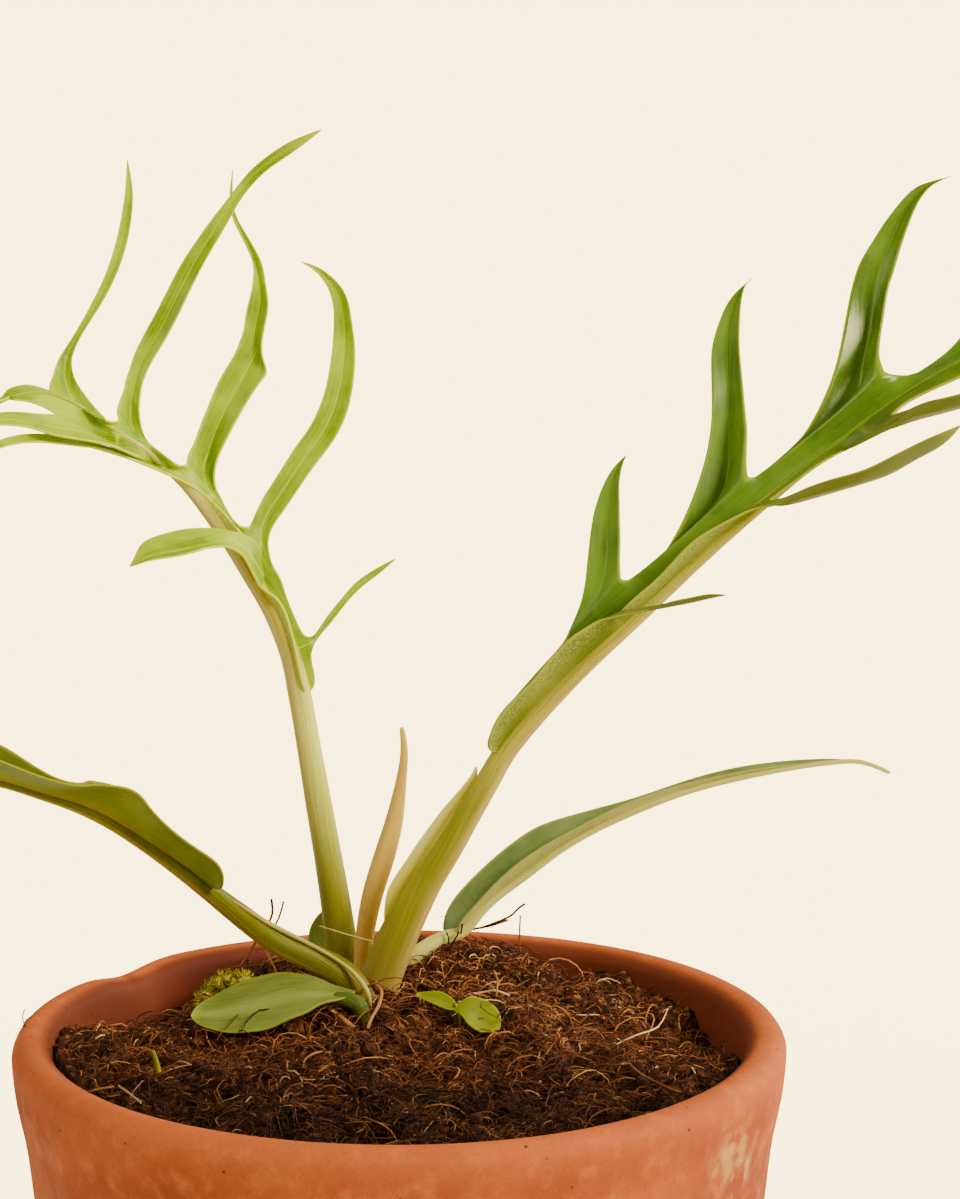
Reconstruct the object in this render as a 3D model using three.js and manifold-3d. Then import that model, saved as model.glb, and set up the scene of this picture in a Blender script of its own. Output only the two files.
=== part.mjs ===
// A young potted philodendron tortum in a small clay pot filled with fibrous soil.
// Millimetres, +Z up. The origin is the middle of the pot's underside, on the surface it stands on.
// The front of the plant faces -Y.
import * as THREE from 'three';
import { mergeVertices } from 'three/addons/utils/BufferGeometryUtils.js';
import Module from 'manifold-3d';

const wasm = await Module();
wasm.setup();

// Pot
const POT_RIM_RADIUS = 45;
const POT_HEIGHT = 80;
const POT_FOOT_RADIUS = 34;
const POT_WALL = 4.3;
const POT_FLOOR = 5;
const INNER_CORNER = 2;
const LIP_RADIUS = 2.2;
const LIP_BULGE = 0.5;
const LIP_STEPS = 6;
const DRAIN_RADIUS = 6;
const RIM_NOTCH = { angle: 2.53, halfAngle: 0.11, depth: 1.1 };
const RIM_WAVE = 0.18;
const POT_STEPS = 48;

// Clearance between neighbouring pieces
const GAP = 0.3;

// Soil, as a mean level with broad heaps and hollows [x, y, height, spread]
const SOIL_LEVEL = 77.9;
const SOIL_HEAPS = [
  [-2, 9, 2.8, 13], [9, 32, 2.3, 6.5], [-37, -4, 1.2, 9], [-31, 23, -4, 6.5],
  [38, 8, -4.4, 10], [22, -6, 0.9, 9], [-8, -26, 0.6, 12],
];
const SOIL_ROUGHNESS = 0.55;
const SOIL_RINGS = 11;
const SOIL_STEPS = 42;
const FIBRE_COUNT = 30;
const FIBRE_DIAMETER = 0.8;
const FIBRE_LENGTHS = [3, 7];
const FIBRE_LIFTS = [0.5, 1.2];
const FIBRE_SINK = 1.2;
const FIBRE_BEND = 1.6;
const FIBRE_REACH = 37.5;

// Blades: their thickness, how deep a lobe folds along its midvein as a share of its width,
// and the rows along each half of a blade beside the midrib
const BLADE = 0.65;
const LOBE_KEEL = 0.1;
const WING_ROWS = 14;

// The creeping stem in the soil, as [x, y, z, diameter], and its two roots at the surface
const STEM = [[-4, 2.5, 73.8, 4.5], [-4.4, 8, 75.4, 6], [-4.8, 14, 75.7, 6.2], [-3.6, 21, 75.2, 5]];
const ROOTS = [
  [[-3.2, 5.2, 76, 1.2], [-1.4, 5.0, 79.6, 1.1], [-1.4, 3.4, 81.2, 0.9], [-2.2, 0.8, 81, 0.8],
    [-3.8, -2.6, 79.2, 0.7]],
  [[-4.8, 3, 75.4, 1.2], [-8, 1.4, 79.4, 1.1], [-8.4, -0.2, 81, 0.9], [-6.6, -2.4, 80.6, 0.8],
    [-4.9, -5, 78.8, 0.7]],
];

// The right divided leaf: its stalk and midrib, then the wings of the blade and its lobes
const RIGHT_STALK = [
  [-4, 11.4, 76.5, 5], [-3.2, 11, 80.7, 5.2], [-1.3, 10.5, 85.8, 4.9], [0.7, 10, 90.3, 4.5],
  [3.1, 9.5, 94.7, 4], [5.6, 9, 98.7, 3.6], [8.1, 9, 103.1, 3.3], [10.4, 9, 107.1, 3.1],
  [12.3, 9, 110.4, 2.9], [15.2, 9, 114, 2.7], [18.3, 9, 117.3, 2.4], [22.3, 9, 121.3, 2.1],
  [28.1, 9, 126.7, 1.9], [35.6, 9, 133.8, 1.6], [42.7, 9, 140.1, 1.5], [49, 9, 145.3, 1.3],
  [55.9, 9, 150.7, 1.2], [62.8, 9, 155.3, 1.1], [69.5, 9, 158.6, 1], [76, 9, 161.6, 0.9],
];
const RIGHT_WINGS = [
  { start: 0.46, lean: [-0.5, 0.6, 0.6], widths: [0.8, 2.6, 3.6, 4.2, 4.4, 4.2, 3.8, 4.2, 3.4, 2.4, 2] },
  { start: 0.44, lean: [-0.6, -0.5, 0.6], widths: [0.8, 2.6, 3, 3, 2.4, 1.9, 1.9, 2, 1.8, 1.6, 1.4] },
];
const RIGHT_FAR_FACE = [-0.35, -0.85, 0.35];
const RIGHT_FAR_LOBES = [
  [[24.2, 10.4, 126, 6.4], [23.8, 11.8, 129.3, 4.7], [23.9, 13.5, 133.9, 3.6], [24.5, 15, 138.9, 3],
    [25.2, 16, 142.6, 1.8], [26.7, 16.5, 145, 0.7]],
  [[36.4, 10.5, 137, 7.4], [37.3, 12, 139.8, 6], [38.4, 14, 144.1, 4.9], [38.8, 15.5, 148.7, 4.4],
    [38.9, 17, 153.3, 3.8], [38.8, 18, 158.2, 3.1], [39.6, 19, 162.5, 1.9], [41.6, 19, 165.8, 0.7]],
  [[52, 10.5, 149, 8.2], [53.3, 12, 152.5, 6.4], [54, 14, 157.2, 4.7], [54.8, 16, 161.3, 4],
    [55.9, 18, 165.6, 4.1], [57.5, 19, 170.1, 3.5], [60, 20, 174.4, 2.2], [62.6, 20, 177, 1.2],
    [65.4, 20, 178.2, 0.7]],
  [[68.4, 10.6, 159.6, 6.2], [69.8, 12, 162.4, 4.6], [71.3, 14, 166.4, 3.5], [73, 16, 170.2, 2.8],
    [75.4, 17, 173.4, 1.6], [78, 17, 175, 0.7]],
];
const RIGHT_NEAR_FACE = [-0.45, 0.3, 0.84];
const RIGHT_NEAR_LOBES = [
  [[22.6, 7.6, 123.4, 4.5], [26, 4.6, 127.2, 3.3], [30.7, -0.5, 129.6, 3], [34.1, -4.5, 130.7, 2],
    [36.8, -8, 131.4, 0.7]],
  [[42.5, 7.6, 140.2, 5], [46.1, 3.6, 141.4, 3.8], [50.6, -1.5, 143.4, 3.6], [55.6, -6, 146, 3.2],
    [60.6, -9, 148.7, 2.2], [65, -12, 150.8, 0.7]],
  [[53.6, 7.6, 149.4, 5.5], [57, 3.6, 150.4, 3.8], [61.3, -1, 152, 3.5], [65.6, -5, 153.6, 3.1],
    [70, -8, 155, 2], [74, -10, 155.4, 0.7]],
];
const RIGHT_TIP_LOBE = [
  [[71, 9.4, 159.6, 2.8], [74, 9, 161.6, 3.6], [77.3, 8.6, 163.6, 2.4], [80, 8, 165.6, 0.7]],
];
const RIGHT_TIP_FACE = [-0.5, -0.5, 0.7];
const SHEATH = [
  [-2.4, 9.4, 86, 1.4], [0, 9.2, 91.5, 2.6], [2.6, 9, 96.5, 3.2], [5.4, 8.8, 101.2, 2.8],
  [7.2, 8.7, 105, 1.8], [8.6, 8.8, 108.4, 0.7],
];
const SHEATH_FACE = [0.1, -1, 0.1];

// The left divided leaf
const LEFT_STALK = [
  [-5.6, 17.6, 76.4, 4], [-6.8, 17.6, 80, 4.2], [-7.5, 17, 84, 4.2], [-8.4, 16.2, 90.8, 3.9],
  [-9.3, 15.5, 97, 3.6], [-10.3, 15, 103.3, 3.4], [-11.4, 14.5, 110.5, 3.1], [-12.4, 14, 116.8, 3],
  [-13.4, 13.5, 121.3, 2.6], [-15.4, 12.5, 126.6, 2.3], [-17.9, 11, 131.3, 2.1],
  [-20.3, 9.5, 135.6, 1.9], [-22.6, 8, 139.3, 1.8], [-24.9, 6, 142.6, 1.6], [-27.7, 4, 145.5, 1.4],
  [-30.6, 1.5, 148, 1.3], [-33.6, -1.5, 150.5, 1.2], [-36.4, -5, 153, 1.1], [-39.8, -8, 154.2, 1],
  [-43.2, -11, 153.3, 0.9], [-47.6, -14, 150.8, 0.8],
];
const LEFT_WINGS = [
  { start: 0.41, lean: [0.5, 0.6, 0.5], widths: [0.9, 2, 2.2, 2, 2.4, 2.6, 2, 2, 1.8, 1.2, 1] },
  { start: 0.41, lean: [0.2, -0.8, 0.5], widths: [0.9, 1.5, 1.7, 1.7, 2, 2.2, 2, 1.9, 1.7, 1.5, 1.2] },
];
const LEFT_FAR_FACE = [0.25, -0.9, 0.35];
const LEFT_FAR_LOBES = [
  [[-13.2, 13.8, 119.2, 3.4], [-10.6, 14.8, 123.9, 1.9], [-7, 17, 128.4, 1.2], [-4, 18, 130.6, 0.9],
    [-1, 19, 132.3, 0.7]],
  [[-18, 11.6, 133.4, 4.8], [-16.4, 13, 137.6, 3], [-14.8, 14, 140.4, 2.8], [-12, 15.5, 144.3, 3],
    [-9.2, 17, 148, 2.9], [-7.6, 18, 151.8, 2.9], [-7, 19, 157.4, 2.4], [-6.9, 19, 162.1, 2],
    [-8.6, 18.5, 165, 1.2], [-11.8, 18, 167.7, 0.7]],
  [[-24, 8, 141.4, 5.2], [-22.8, 10.6, 145.2, 3.2], [-21.8, 12.5, 148.5, 2.9], [-19.2, 14.5, 153, 3.3],
    [-17.7, 16, 157.5, 2.5], [-17.2, 17, 161.6, 2], [-17, 18, 165.5, 1.4], [-17.5, 18, 168.3, 1.1],
    [-19.4, 18, 172.6, 0.9], [-20, 18, 178.6, 0.7]],
  [[-30.6, 3, 148.6, 5.5], [-30.9, 5.8, 152.9, 2.5], [-29.5, 8, 157.6, 2.2], [-26.9, 9, 162.4, 2.3],
    [-24.2, 9.5, 168.2, 2], [-20.1, 10, 173.7, 1.6], [-16.7, 10, 177.9, 1.2], [-12.6, 9.5, 181.2, 0.9],
    [-8.7, 9, 183.1, 0.7]],
  [[-37, -4, 153.8, 4.8], [-37.2, -1.4, 157.3, 2.5], [-36.2, 1, 160, 2], [-34.6, 2, 163.1, 2.1],
    [-32.3, 3, 168.2, 1.8], [-30.7, 3, 173.5, 1.5], [-30.5, 3, 176.6, 1], [-30.7, 3, 179.5, 0.7]],
  [[-45.2, -12, 152.4, 3.6], [-46.6, -10, 156, 2], [-47.4, -8.6, 160, 1.8], [-46.9, -7, 164.3, 1.2],
    [-45.4, -6, 167.3, 0.7]],
];
const LEFT_NEAR_FACE = [-0.1, -0.35, 0.93];
const LEFT_NEAR_LOBES = [
  [[-16.8, 10.4, 130.4, 3], [-18.4, 7.4, 134.8, 2.8], [-21, 4.2, 136.5, 2.8], [-24.6, 1.2, 136.6, 2.8],
    [-27.6, -0.8, 136, 2.4], [-30.3, -2.4, 133.8, 0.7]],
  [[-24.6, 4.4, 141.6, 3.4], [-31.2, -2.6, 146.4, 2.4], [-35, -7.4, 148.5, 2.4], [-37.9, -12, 149.6, 2.2],
    [-40.9, -15, 149.4, 1.9], [-45.2, -19, 146.4, 0.7]],
  [[-28.6, 2, 146.2, 3.4], [-32.9, -4.4, 149, 2.4], [-37, -9.4, 151, 2.2], [-41, -14.6, 152, 2],
    [-45, -18.4, 151.2, 1.6], [-48.9, -21, 148.4, 0.7]],
];
const LEFT_TIP_LOBE = [
  [[-44.4, -12, 153, 2], [-47.6, -14.2, 151.1, 2.6], [-51.6, -16.4, 147, 2.2], [-54, -18, 141.8, 0.7]],
];
const LEFT_TIP_FACE = [-0.3, -0.2, 0.9];

// The long undivided leaf that arches to the left
const ARCH_STALK = [
  [-4.6, 7, 76.8, 3.4], [-4.6, 6, 80.2, 4], [-6.8, 5.6, 84, 3.9], [-10.6, 5.2, 86.3, 3.5],
  [-14.9, 4.2, 88.7, 3.2], [-18.9, 3, 92.1, 2.9], [-22.7, 1, 95.8, 2.4], [-27.1, -1, 99.9, 2.1],
  [-31.9, -3.5, 104, 1.8], [-36.1, -6, 106.9, 1.6], [-40.2, -8.5, 109, 1.4], [-44.2, -11, 110.9, 1.3],
  [-50.3, -14, 112.7, 1.1], [-56.3, -17, 112.6, 1], [-62.5, -19, 110, 0.9], [-68.4, -20, 105.3, 0.8],
];
const ARCH_WINGS = [
  { start: 0.35, lean: [0.22, 0.85, 0.45], widths: [1.4, 5, 5.6, 5.6, 4.4, 5, 5, 4.8, 4.4, 3.6, 2.4] },
  { start: 0.35, lean: [-0.1, -0.85, 0.34], widths: [1.4, 3, 3.8, 4.4, 4.6, 4.8, 4.8, 4.6, 4.2, 3.4, 2.2] },
];
const ARCH_TIP_LOBE = [
  [[-65, -19.5, 108, 4.6], [-69.5, -20.2, 104.6, 4.6], [-74, -20.8, 99.6, 3.2], [-80, -21, 90, 0.7]],
];
const ARCH_TIP_FACE = [-0.5, -0.1, 0.85];

// The long undivided leaf that bends over to the right, behind the others
const STRAP_STALK = [
  [-1.8, 22, 76.8, 2.4], [1.2, 24, 80, 2.5], [3.3, 25, 82.1, 2.4], [5.7, 26, 84.5, 2], [9.1, 27, 88.1, 1.5],
  [12.5, 28, 90.9, 1.4], [16.5, 29, 93.7, 1.3], [20.6, 30, 95.9, 1.2], [24.8, 31, 98, 1.1],
  [29.1, 32, 99.6, 1], [35.7, 33, 101.5, 0.9], [41.9, 34, 103.1, 0.85], [49, 35, 103.8, 0.8],
  [56.3, 36, 104, 0.75],
];
const STRAP_WINGS = [
  { start: 0.12, lean: [-0.22, 0.85, 0.42], widths: [0.8, 3.2, 3.8, 3.9, 3.4, 2.9, 2.6, 2.3, 2, 1.6, 1] },
  { start: 0.12, lean: [0.3, -0.85, -0.16], widths: [0.8, 2.4, 3, 3.1, 3, 2.7, 2.5, 2.2, 1.9, 1.5, 0.8] },
];
const STRAP_TIP_LOBE = [[[54, 35.6, 104, 2.2], [57.6, 36.2, 103.8, 1.8], [60.4, 36.6, 103, 1.2],
  [62.4, 37, 101.9, 0.7]]];
const STRAP_TIP_FACE = [0.1, -0.4, 0.9];

// The dry spike between the stalks, [x, y, z, width], with its depth as a share of its width
const SPIKE_FLATTEN = 0.6;
const SPIKE = [
  [-5, 14.6, 77.4, 2], [-5, 14.7, 80.5, 2], [-4.9, 14.5, 85, 2.3], [-3.9, 14, 91.1, 2.7],
  [-2.3, 14, 96.4, 2.8], [-1, 14, 101.1, 2.3], [-0.1, 14, 106.5, 1.3], [0.2, 14, 109.6, 1],
  [-0.1, 14, 112.5, 0.7],
];

// Small undivided leaves at the crown: a thin stalk and an oval blade [x, y, z, width]
const FRONT_LEAF_STALK = [
  [-4.6, 4, 76.8, 1.6], [-4.9, 1.9, 80.6, 1.5], [-5.6, 1.6, 82, 1.2], [-8, 1.4, 82.6, 1],
];
const FRONT_LEAF = [
  [-6.6, 1.5, 82.4, 2.2], [-9.4, 1.4, 82.9, 5], [-13, 0.8, 83.1, 7.2], [-17, 0.2, 82.9, 7.8],
  [-20.6, -0.6, 82.4, 6.4], [-23.2, -1.2, 82, 3.8], [-24.6, -1.6, 81.9, 1],
];
const FRONT_LEAF_KEEL = 0.06;
const FRONT_LEAF_FACE = [-0.05, -0.62, 0.78];
const BACK_LEAF_STALK = [[-5, 21.8, 76.6, 1.4], [-8.4, 22.8, 79.6, 1.3], [-9.6, 23.4, 82.4, 1]];
const BACK_LEAF = [
  [-8.8, 23.2, 80.4, 1.6], [-9.2, 23.5, 82.2, 5], [-9.4, 23.8, 84.4, 5.6], [-9, 24, 86.4, 3.6],
  [-8.2, 24.2, 87.8, 0.8],
];
const BACK_LEAF_FACE = [-0.2, -0.9, 0.3];

// A seedling with two leaflets, and a single shoot
const SEEDLING_STEM = [[6.9, 2.4, 76, 0.9], [6.6, 2, 80.2, 0.9], [6.4, 1.6, 81.8, 0.8]];
const SEEDLING_LEAFLETS = [
  [[6.5, 1.7, 81.4, 0.8], [5.6, 2, 82.2, 1.9], [4.2, 2.4, 82.9, 2], [2.9, 2.7, 83, 1.3],
    [1.8, 2.9, 82.8, 0.7]],
  [[6.3, 1.6, 81.3, 0.8], [7.8, 1.2, 82, 3.2], [9.4, 0.6, 81.9, 4.2], [10.9, 0, 81.3, 3.6],
    [11.9, -0.5, 80.7, 1.2]],
];
const SEEDLING_FACE = [0.1, -0.6, 0.78];
const SHOOT = [
  [-26.4, -17.4, 74, 0.9], [-26.3, -17.6, 78.4, 1.1], [-26.5, -17.9, 80.6, 0.9], [-26.9, -18, 82.2, 0.7],
];

// A clump of moss on the soil
const MOSS_CENTRE = [-24.6, 21];
const MOSS_LENGTH = 7.5;
const MOSS_DEPTH = 4;
const MOSS_CUSHION_RADII = [0.9, 1.6];
const MOSS_CUSHIONS = 9;

// Colours, with roughness
const CLAY = ['#bd6a38', 0.85];
const EARTH = ['#3c2414', 1];
const STEM_TAN = ['#b79a62', 0.7];
const DEEP_GREEN = ['#4f7a14', 0.3];
const LIME = ['#a4b628', 0.4];
const OLIVE = ['#8a8c24', 0.4];
const GREY_GREEN = ['#7f8c4a', 0.5];
const DRY_TAN = ['#c59d4a', 0.6];
const MOSS_GREEN = ['#74861c', 0.95];

const group = new THREE.Group();
const vector = ([x, y, z]) => new THREE.Vector3(x, y, z);

// Gives the same draws every time, for the soil and the moss.
function seeded(seed) {
  let state = seed;
  return () => {
    state = (state * 1664525 + 1013904223) % 4294967296;
    return state / 4294967296;
  };
}

// Solids from meshes, and back.
function toSolid(geometry) {
  const bare = geometry.clone();
  for (const name of Object.keys(bare.attributes)) {
    if (name !== 'position') bare.deleteAttribute(name);
  }
  const merged = mergeVertices(bare, 1e-4);
  return new wasm.Manifold(new wasm.Mesh({
    numProp: 3,
    vertProperties: new Float32Array(merged.attributes.position.array),
    triVerts: new Uint32Array(merged.index.array),
  }));
}

function toGeometry(solid) {
  const mesh = solid.getMesh();
  const geometry = new THREE.BufferGeometry();
  geometry.setAttribute('position', new THREE.BufferAttribute(new Float32Array(mesh.vertProperties), 3));
  geometry.setIndex(new THREE.BufferAttribute(new Uint32Array(mesh.triVerts), 1));
  geometry.computeVertexNormals();
  return geometry;
}

function union(solids) {
  return solids.reduce((whole, next) => whole.add(next));
}

// Keeps the largest body, dropping scraps that a cut leaves.
function largest(solid) {
  return solid.decompose().reduce((best, next) => (next.volume() > best.volume() ? next : best));
}

function addNode(name, solid, [color, roughness]) {
  const material = new THREE.MeshStandardMaterial({ color, roughness, metalness: 0 });
  const mesh = new THREE.Mesh(toGeometry(solid), material);
  mesh.name = name;
  group.add(mesh);
}

// A smooth curve through [x, y, z, size] points, whose size is interpolated beside the place.
function rail(points) {
  const curve = new THREE.CatmullRomCurve3(points.map(vector), false, 'centripetal');
  const last = points.length - 1;
  const sizeAt = (t) => {
    const place = Math.min(t * last, last - 1e-6);
    const before = Math.floor(place);
    return THREE.MathUtils.lerp(points[before][3], points[before + 1][3], place - before);
  };
  return { at: (t) => curve.getPoint(t), along: (t) => curve.getTangent(t), size: sizeAt, last };
}

// A tapered round stalk: a cylinder whose rings follow the curve.
function stalk(points, { sides = 8, perSpan = 1, grow = 0, flatten = 1 } = {}) {
  const path = rail(points);
  const steps = path.last * perSpan;
  const geometry = new THREE.CylinderGeometry(1, 1, 1, sides, steps);
  const position = geometry.attributes.position;
  const side = new THREE.Vector3(1, 0, 0);
  const rings = [];
  for (let i = 0; i <= steps; i++) {
    const t = i / steps;
    const tangent = path.along(t);
    side.addScaledVector(tangent, -side.dot(tangent)).normalize();
    const up = tangent.clone().cross(side);
    rings.push({ centre: path.at(t), side: side.clone(), up, radius: path.size(t) / 2 + grow });
  }
  const place = new THREE.Vector3();
  for (let i = 0; i < position.count; i++) {
    place.fromBufferAttribute(position, i);
    const ring = rings[Math.round((place.y + 0.5) * steps)];
    const wide = place.x * ring.radius;
    const deep = place.z * (ring.radius * flatten + grow * (1 - flatten));
    const moved = ring.centre.clone().addScaledVector(ring.side, wide).addScaledVector(ring.up, -deep);
    position.setXYZ(i, moved.x, moved.y, moved.z);
  }
  return toSolid(geometry);
}

// A sheet of even thickness over rows of points, split into triangles alike on both faces.
function sheet(rows, thickness) {
  const across = rows[0].length;
  const middle = new THREE.BufferGeometry();
  const points = rows.flat();
  const faces = [];
  for (let r = 0; r < rows.length - 1; r++) {
    for (let c = 0; c < across - 1; c++) {
      const a = r * across + c;
      faces.push(a, a + 1, a + across + 1, a, a + across + 1, a + across);
    }
  }
  middle.setFromPoints(points);
  middle.setIndex(faces);
  middle.computeVertexNormals();
  const normals = middle.attributes.normal;
  const offset = new THREE.Vector3();
  const shell = [];
  for (const sign of [1, -1]) {
    points.forEach((point, i) => {
      offset.fromBufferAttribute(normals, i);
      shell.push(point.clone().addScaledVector(offset, (sign * thickness) / 2));
    });
  }
  const under = points.length;
  const index = [...faces];
  for (let i = 0; i < faces.length; i += 3) {
    index.push(faces[i] + under, faces[i + 2] + under, faces[i + 1] + under);
  }
  const rim = [];
  for (let c = 0; c < across - 1; c++) rim.push([c, c + 1]);
  for (let r = 0; r < rows.length - 1; r++) rim.push([(r + 1) * across - 1, (r + 2) * across - 1]);
  for (let c = across - 1; c > 0; c--) rim.push([under - across + c, under - across + c - 1]);
  for (let r = rows.length - 1; r > 0; r--) rim.push([r * across, (r - 1) * across]);
  for (const [a, b] of rim) index.push(b, a, a + under, b, a + under, b + under);
  const closed = new THREE.BufferGeometry().setFromPoints(shell);
  closed.setIndex(index);
  return toSolid(closed);
}

// One lobe or a whole blade: a strip along its midvein, folded a little along it.
function lobe(points, facing, { keel = LOBE_KEEL, thickness = BLADE } = {}) {
  const path = rail(points);
  const steps = path.last;
  const face = vector(facing);
  const rows = [];
  for (let i = 0; i <= steps; i++) {
    const t = i / steps;
    const side = path.along(t).cross(face).normalize();
    const half = path.size(t) / 2;
    const up = side.clone().cross(path.along(t)).normalize();
    const middle = path.at(t);
    const fold = keel * path.size(t);
    rows.push([
      middle.clone().addScaledVector(side, half),
      middle.clone().addScaledVector(up, -fold),
      middle.clone().addScaledVector(side, -half),
    ]);
  }
  return sheet(rows, thickness);
}

// One half of a blade beside the midrib, from where the blade starts to the stalk's end.
function wing(stalkPoints, { start, lean, widths }) {
  const path = rail(stalkPoints);
  const direction = vector(lean);
  const rows = [];
  for (let i = 0; i <= WING_ROWS; i++) {
    const t = THREE.MathUtils.lerp(start, 1, i / WING_ROWS);
    const place = (i / WING_ROWS) * (widths.length - 1);
    const before = Math.min(Math.floor(place), widths.length - 2);
    const width = THREE.MathUtils.lerp(widths[before], widths[before + 1], place - before);
    const tangent = path.along(t);
    const out = direction.clone().addScaledVector(tangent, -direction.dot(tangent)).normalize();
    rows.push([0, 0.5, 1].map((part) => path.at(t).addScaledVector(out, width * part)));
  }
  return sheet(rows, BLADE);
}

// Waves of several lengths that together look rough.
function rough(x, y) {
  return Math.sin(x * 0.71 + 1.3) * Math.cos(y * 0.83 - 0.9)
    + 0.6 * Math.sin(x * 1.57 + y * 1.13 + 2.7)
    + 0.45 * Math.cos(x * 2.3 - y * 2.9 + 1.3);
}

function potProfile() {
  const wallDrift = (POT_RIM_RADIUS - POT_FOOT_RADIUS) / POT_HEIGHT;
  const outerAt = (z) => POT_FOOT_RADIUS + wallDrift * z;
  const outline = [
    [DRAIN_RADIUS, 0], [POT_FOOT_RADIUS * 0.6, 0], [POT_FOOT_RADIUS - 1, 0],
    [POT_FOOT_RADIUS, 1], [outerAt(20), 20], [outerAt(40), 40], [outerAt(58), 58],
    [outerAt(68) - 0.1, 68], [POT_RIM_RADIUS + LIP_BULGE - 0.6, 73],
  ];
  const centre = [POT_RIM_RADIUS + LIP_BULGE - LIP_RADIUS, POT_HEIGHT - LIP_RADIUS];
  for (let i = 0; i <= LIP_STEPS; i++) {
    const turn = (i / LIP_STEPS) * Math.PI;
    const reach = Math.cos(turn) > 0 ? LIP_RADIUS : POT_WALL + LIP_BULGE - LIP_RADIUS;
    outline.push([centre[0] + reach * Math.cos(turn), centre[1] + LIP_RADIUS * Math.sin(turn)]);
  }
  outline.push([innerRadius(70), 70], [innerRadius(40), 40],
    [innerRadius(POT_FLOOR + INNER_CORNER), POT_FLOOR + INNER_CORNER],
    [innerRadius(POT_FLOOR) - INNER_CORNER, POT_FLOOR], [DRAIN_RADIUS, POT_FLOOR], [DRAIN_RADIUS, 0]);
  return outline.map(([r, z]) => new THREE.Vector2(r, z));
}

function innerRadius(z) {
  return POT_FOOT_RADIUS - POT_WALL + ((POT_RIM_RADIUS - POT_FOOT_RADIUS) / POT_HEIGHT) * z;
}

// The thrown rim isn't quite level, and has one shallow notch.
function makePot() {
  const geometry = new THREE.LatheGeometry(potProfile(), POT_STEPS);
  geometry.rotateX(Math.PI / 2);
  const position = geometry.attributes.position;
  for (let i = 0; i < position.count; i++) {
    const [x, y, z] = [position.getX(i), position.getY(i), position.getZ(i)];
    const angle = Math.atan2(y, x);
    const share = THREE.MathUtils.smoothstep(z, POT_HEIGHT - 10, POT_HEIGHT);
    const notch = RIM_NOTCH.depth * Math.exp(-(((angle - RIM_NOTCH.angle) / RIM_NOTCH.halfAngle) ** 2));
    const wave = RIM_WAVE * (Math.sin(2 * angle + 1) - 1);
    position.setZ(i, z + share * (wave - notch));
  }
  return toSolid(geometry);
}

function soilHeight(x, y) {
  let height = SOIL_LEVEL;
  for (const [cx, cy, rise, spread] of SOIL_HEAPS) {
    height += rise * Math.exp(-((x - cx) ** 2 + (y - cy) ** 2) / (2 * spread * spread));
  }
  return height;
}

function soilSurface(x, y) {
  return soilHeight(x, y) + SOIL_ROUGHNESS * rough(x, y);
}

function makeSoil() {
  const shoulder = SOIL_LEVEL - 8;
  const outline = [[0, POT_FLOOR + GAP], [innerRadius(POT_FLOOR) - INNER_CORNER - GAP, POT_FLOOR + GAP],
    [innerRadius(POT_FLOOR + INNER_CORNER) - 2 * GAP, POT_FLOOR + INNER_CORNER],
    [innerRadius(shoulder) - GAP, shoulder]];
  const edge = innerRadius(shoulder) - GAP;
  for (let i = 0; i <= SOIL_RINGS; i++) outline.push([edge * (1 - i / SOIL_RINGS), SOIL_LEVEL]);
  const geometry = new THREE.LatheGeometry(outline.map(([r, z]) => new THREE.Vector2(r, z)), SOIL_STEPS);
  geometry.rotateX(Math.PI / 2);
  const position = geometry.attributes.position;
  for (let i = 0; i < position.count; i++) {
    const [x, y, z] = [position.getX(i), position.getY(i), position.getZ(i)];
    if (z < SOIL_LEVEL - 1) continue;
    position.setZ(i, soilSurface(x, y));
  }
  return toSolid(geometry);
}

// Coir fibres that arch out of the soil and go back in.
function makeFibres() {
  const draw = seeded(7);
  const between = ([low, high]) => THREE.MathUtils.lerp(low, high, draw());
  const fibres = [];
  while (fibres.length < FIBRE_COUNT) {
    const angle = between([0, 2 * Math.PI]);
    const radius = Math.sqrt(draw()) * FIBRE_REACH;
    const heading = between([0, 2 * Math.PI]);
    const half = between(FIBRE_LENGTHS) / 2;
    const lift = between(FIBRE_LIFTS);
    const bend = between([-FIBRE_BEND / 2, FIBRE_BEND / 2]);
    const [x, y] = [radius * Math.cos(angle), radius * Math.sin(angle)];
    const points = [-1, -0.4, 0.4, 1].map((part) => {
      const aside = bend * part * part;
      const px = x + part * half * Math.cos(heading) - aside * Math.sin(heading);
      const py = y + part * half * Math.sin(heading) + aside * Math.cos(heading);
      const above = Math.abs(part) === 1 ? -FIBRE_SINK : lift;
      return [px, py, soilSurface(px, py) + above, FIBRE_DIAMETER];
    });
    const reach = Math.max(...points.map(([px, py]) => Math.hypot(px, py)));
    const mossAway = Math.hypot(x - MOSS_CENTRE[0], y - MOSS_CENTRE[1]);
    if (reach < FIBRE_REACH && mossAway > MOSS_LENGTH) fibres.push(stalk(points, { sides: 3 }));
  }
  return union(fibres);
}

function makeMoss() {
  const draw = seeded(21);
  const cushions = [];
  for (let i = 0; i < MOSS_CUSHIONS; i++) {
    const across = (draw() - 0.5) * MOSS_LENGTH;
    const back = (draw() - 0.5) * MOSS_DEPTH;
    const radius = THREE.MathUtils.lerp(...MOSS_CUSHION_RADII, draw());
    const cushion = new THREE.OctahedronGeometry(radius, 1);
    const [x, y] = [MOSS_CENTRE[0] + across, MOSS_CENTRE[1] + back];
    cushion.translate(x, y, soilHeight(x, y) + 0.5);
    cushions.push(toSolid(cushion));
  }
  const pad = new THREE.SphereGeometry(1, 12, 6);
  pad.scale(MOSS_LENGTH * 0.55, MOSS_DEPTH * 0.6, 1.6);
  pad.translate(MOSS_CENTRE[0], MOSS_CENTRE[1], soilHeight(...MOSS_CENTRE) + 0.2);
  return union([toSolid(pad), ...cushions]);
}

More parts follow.
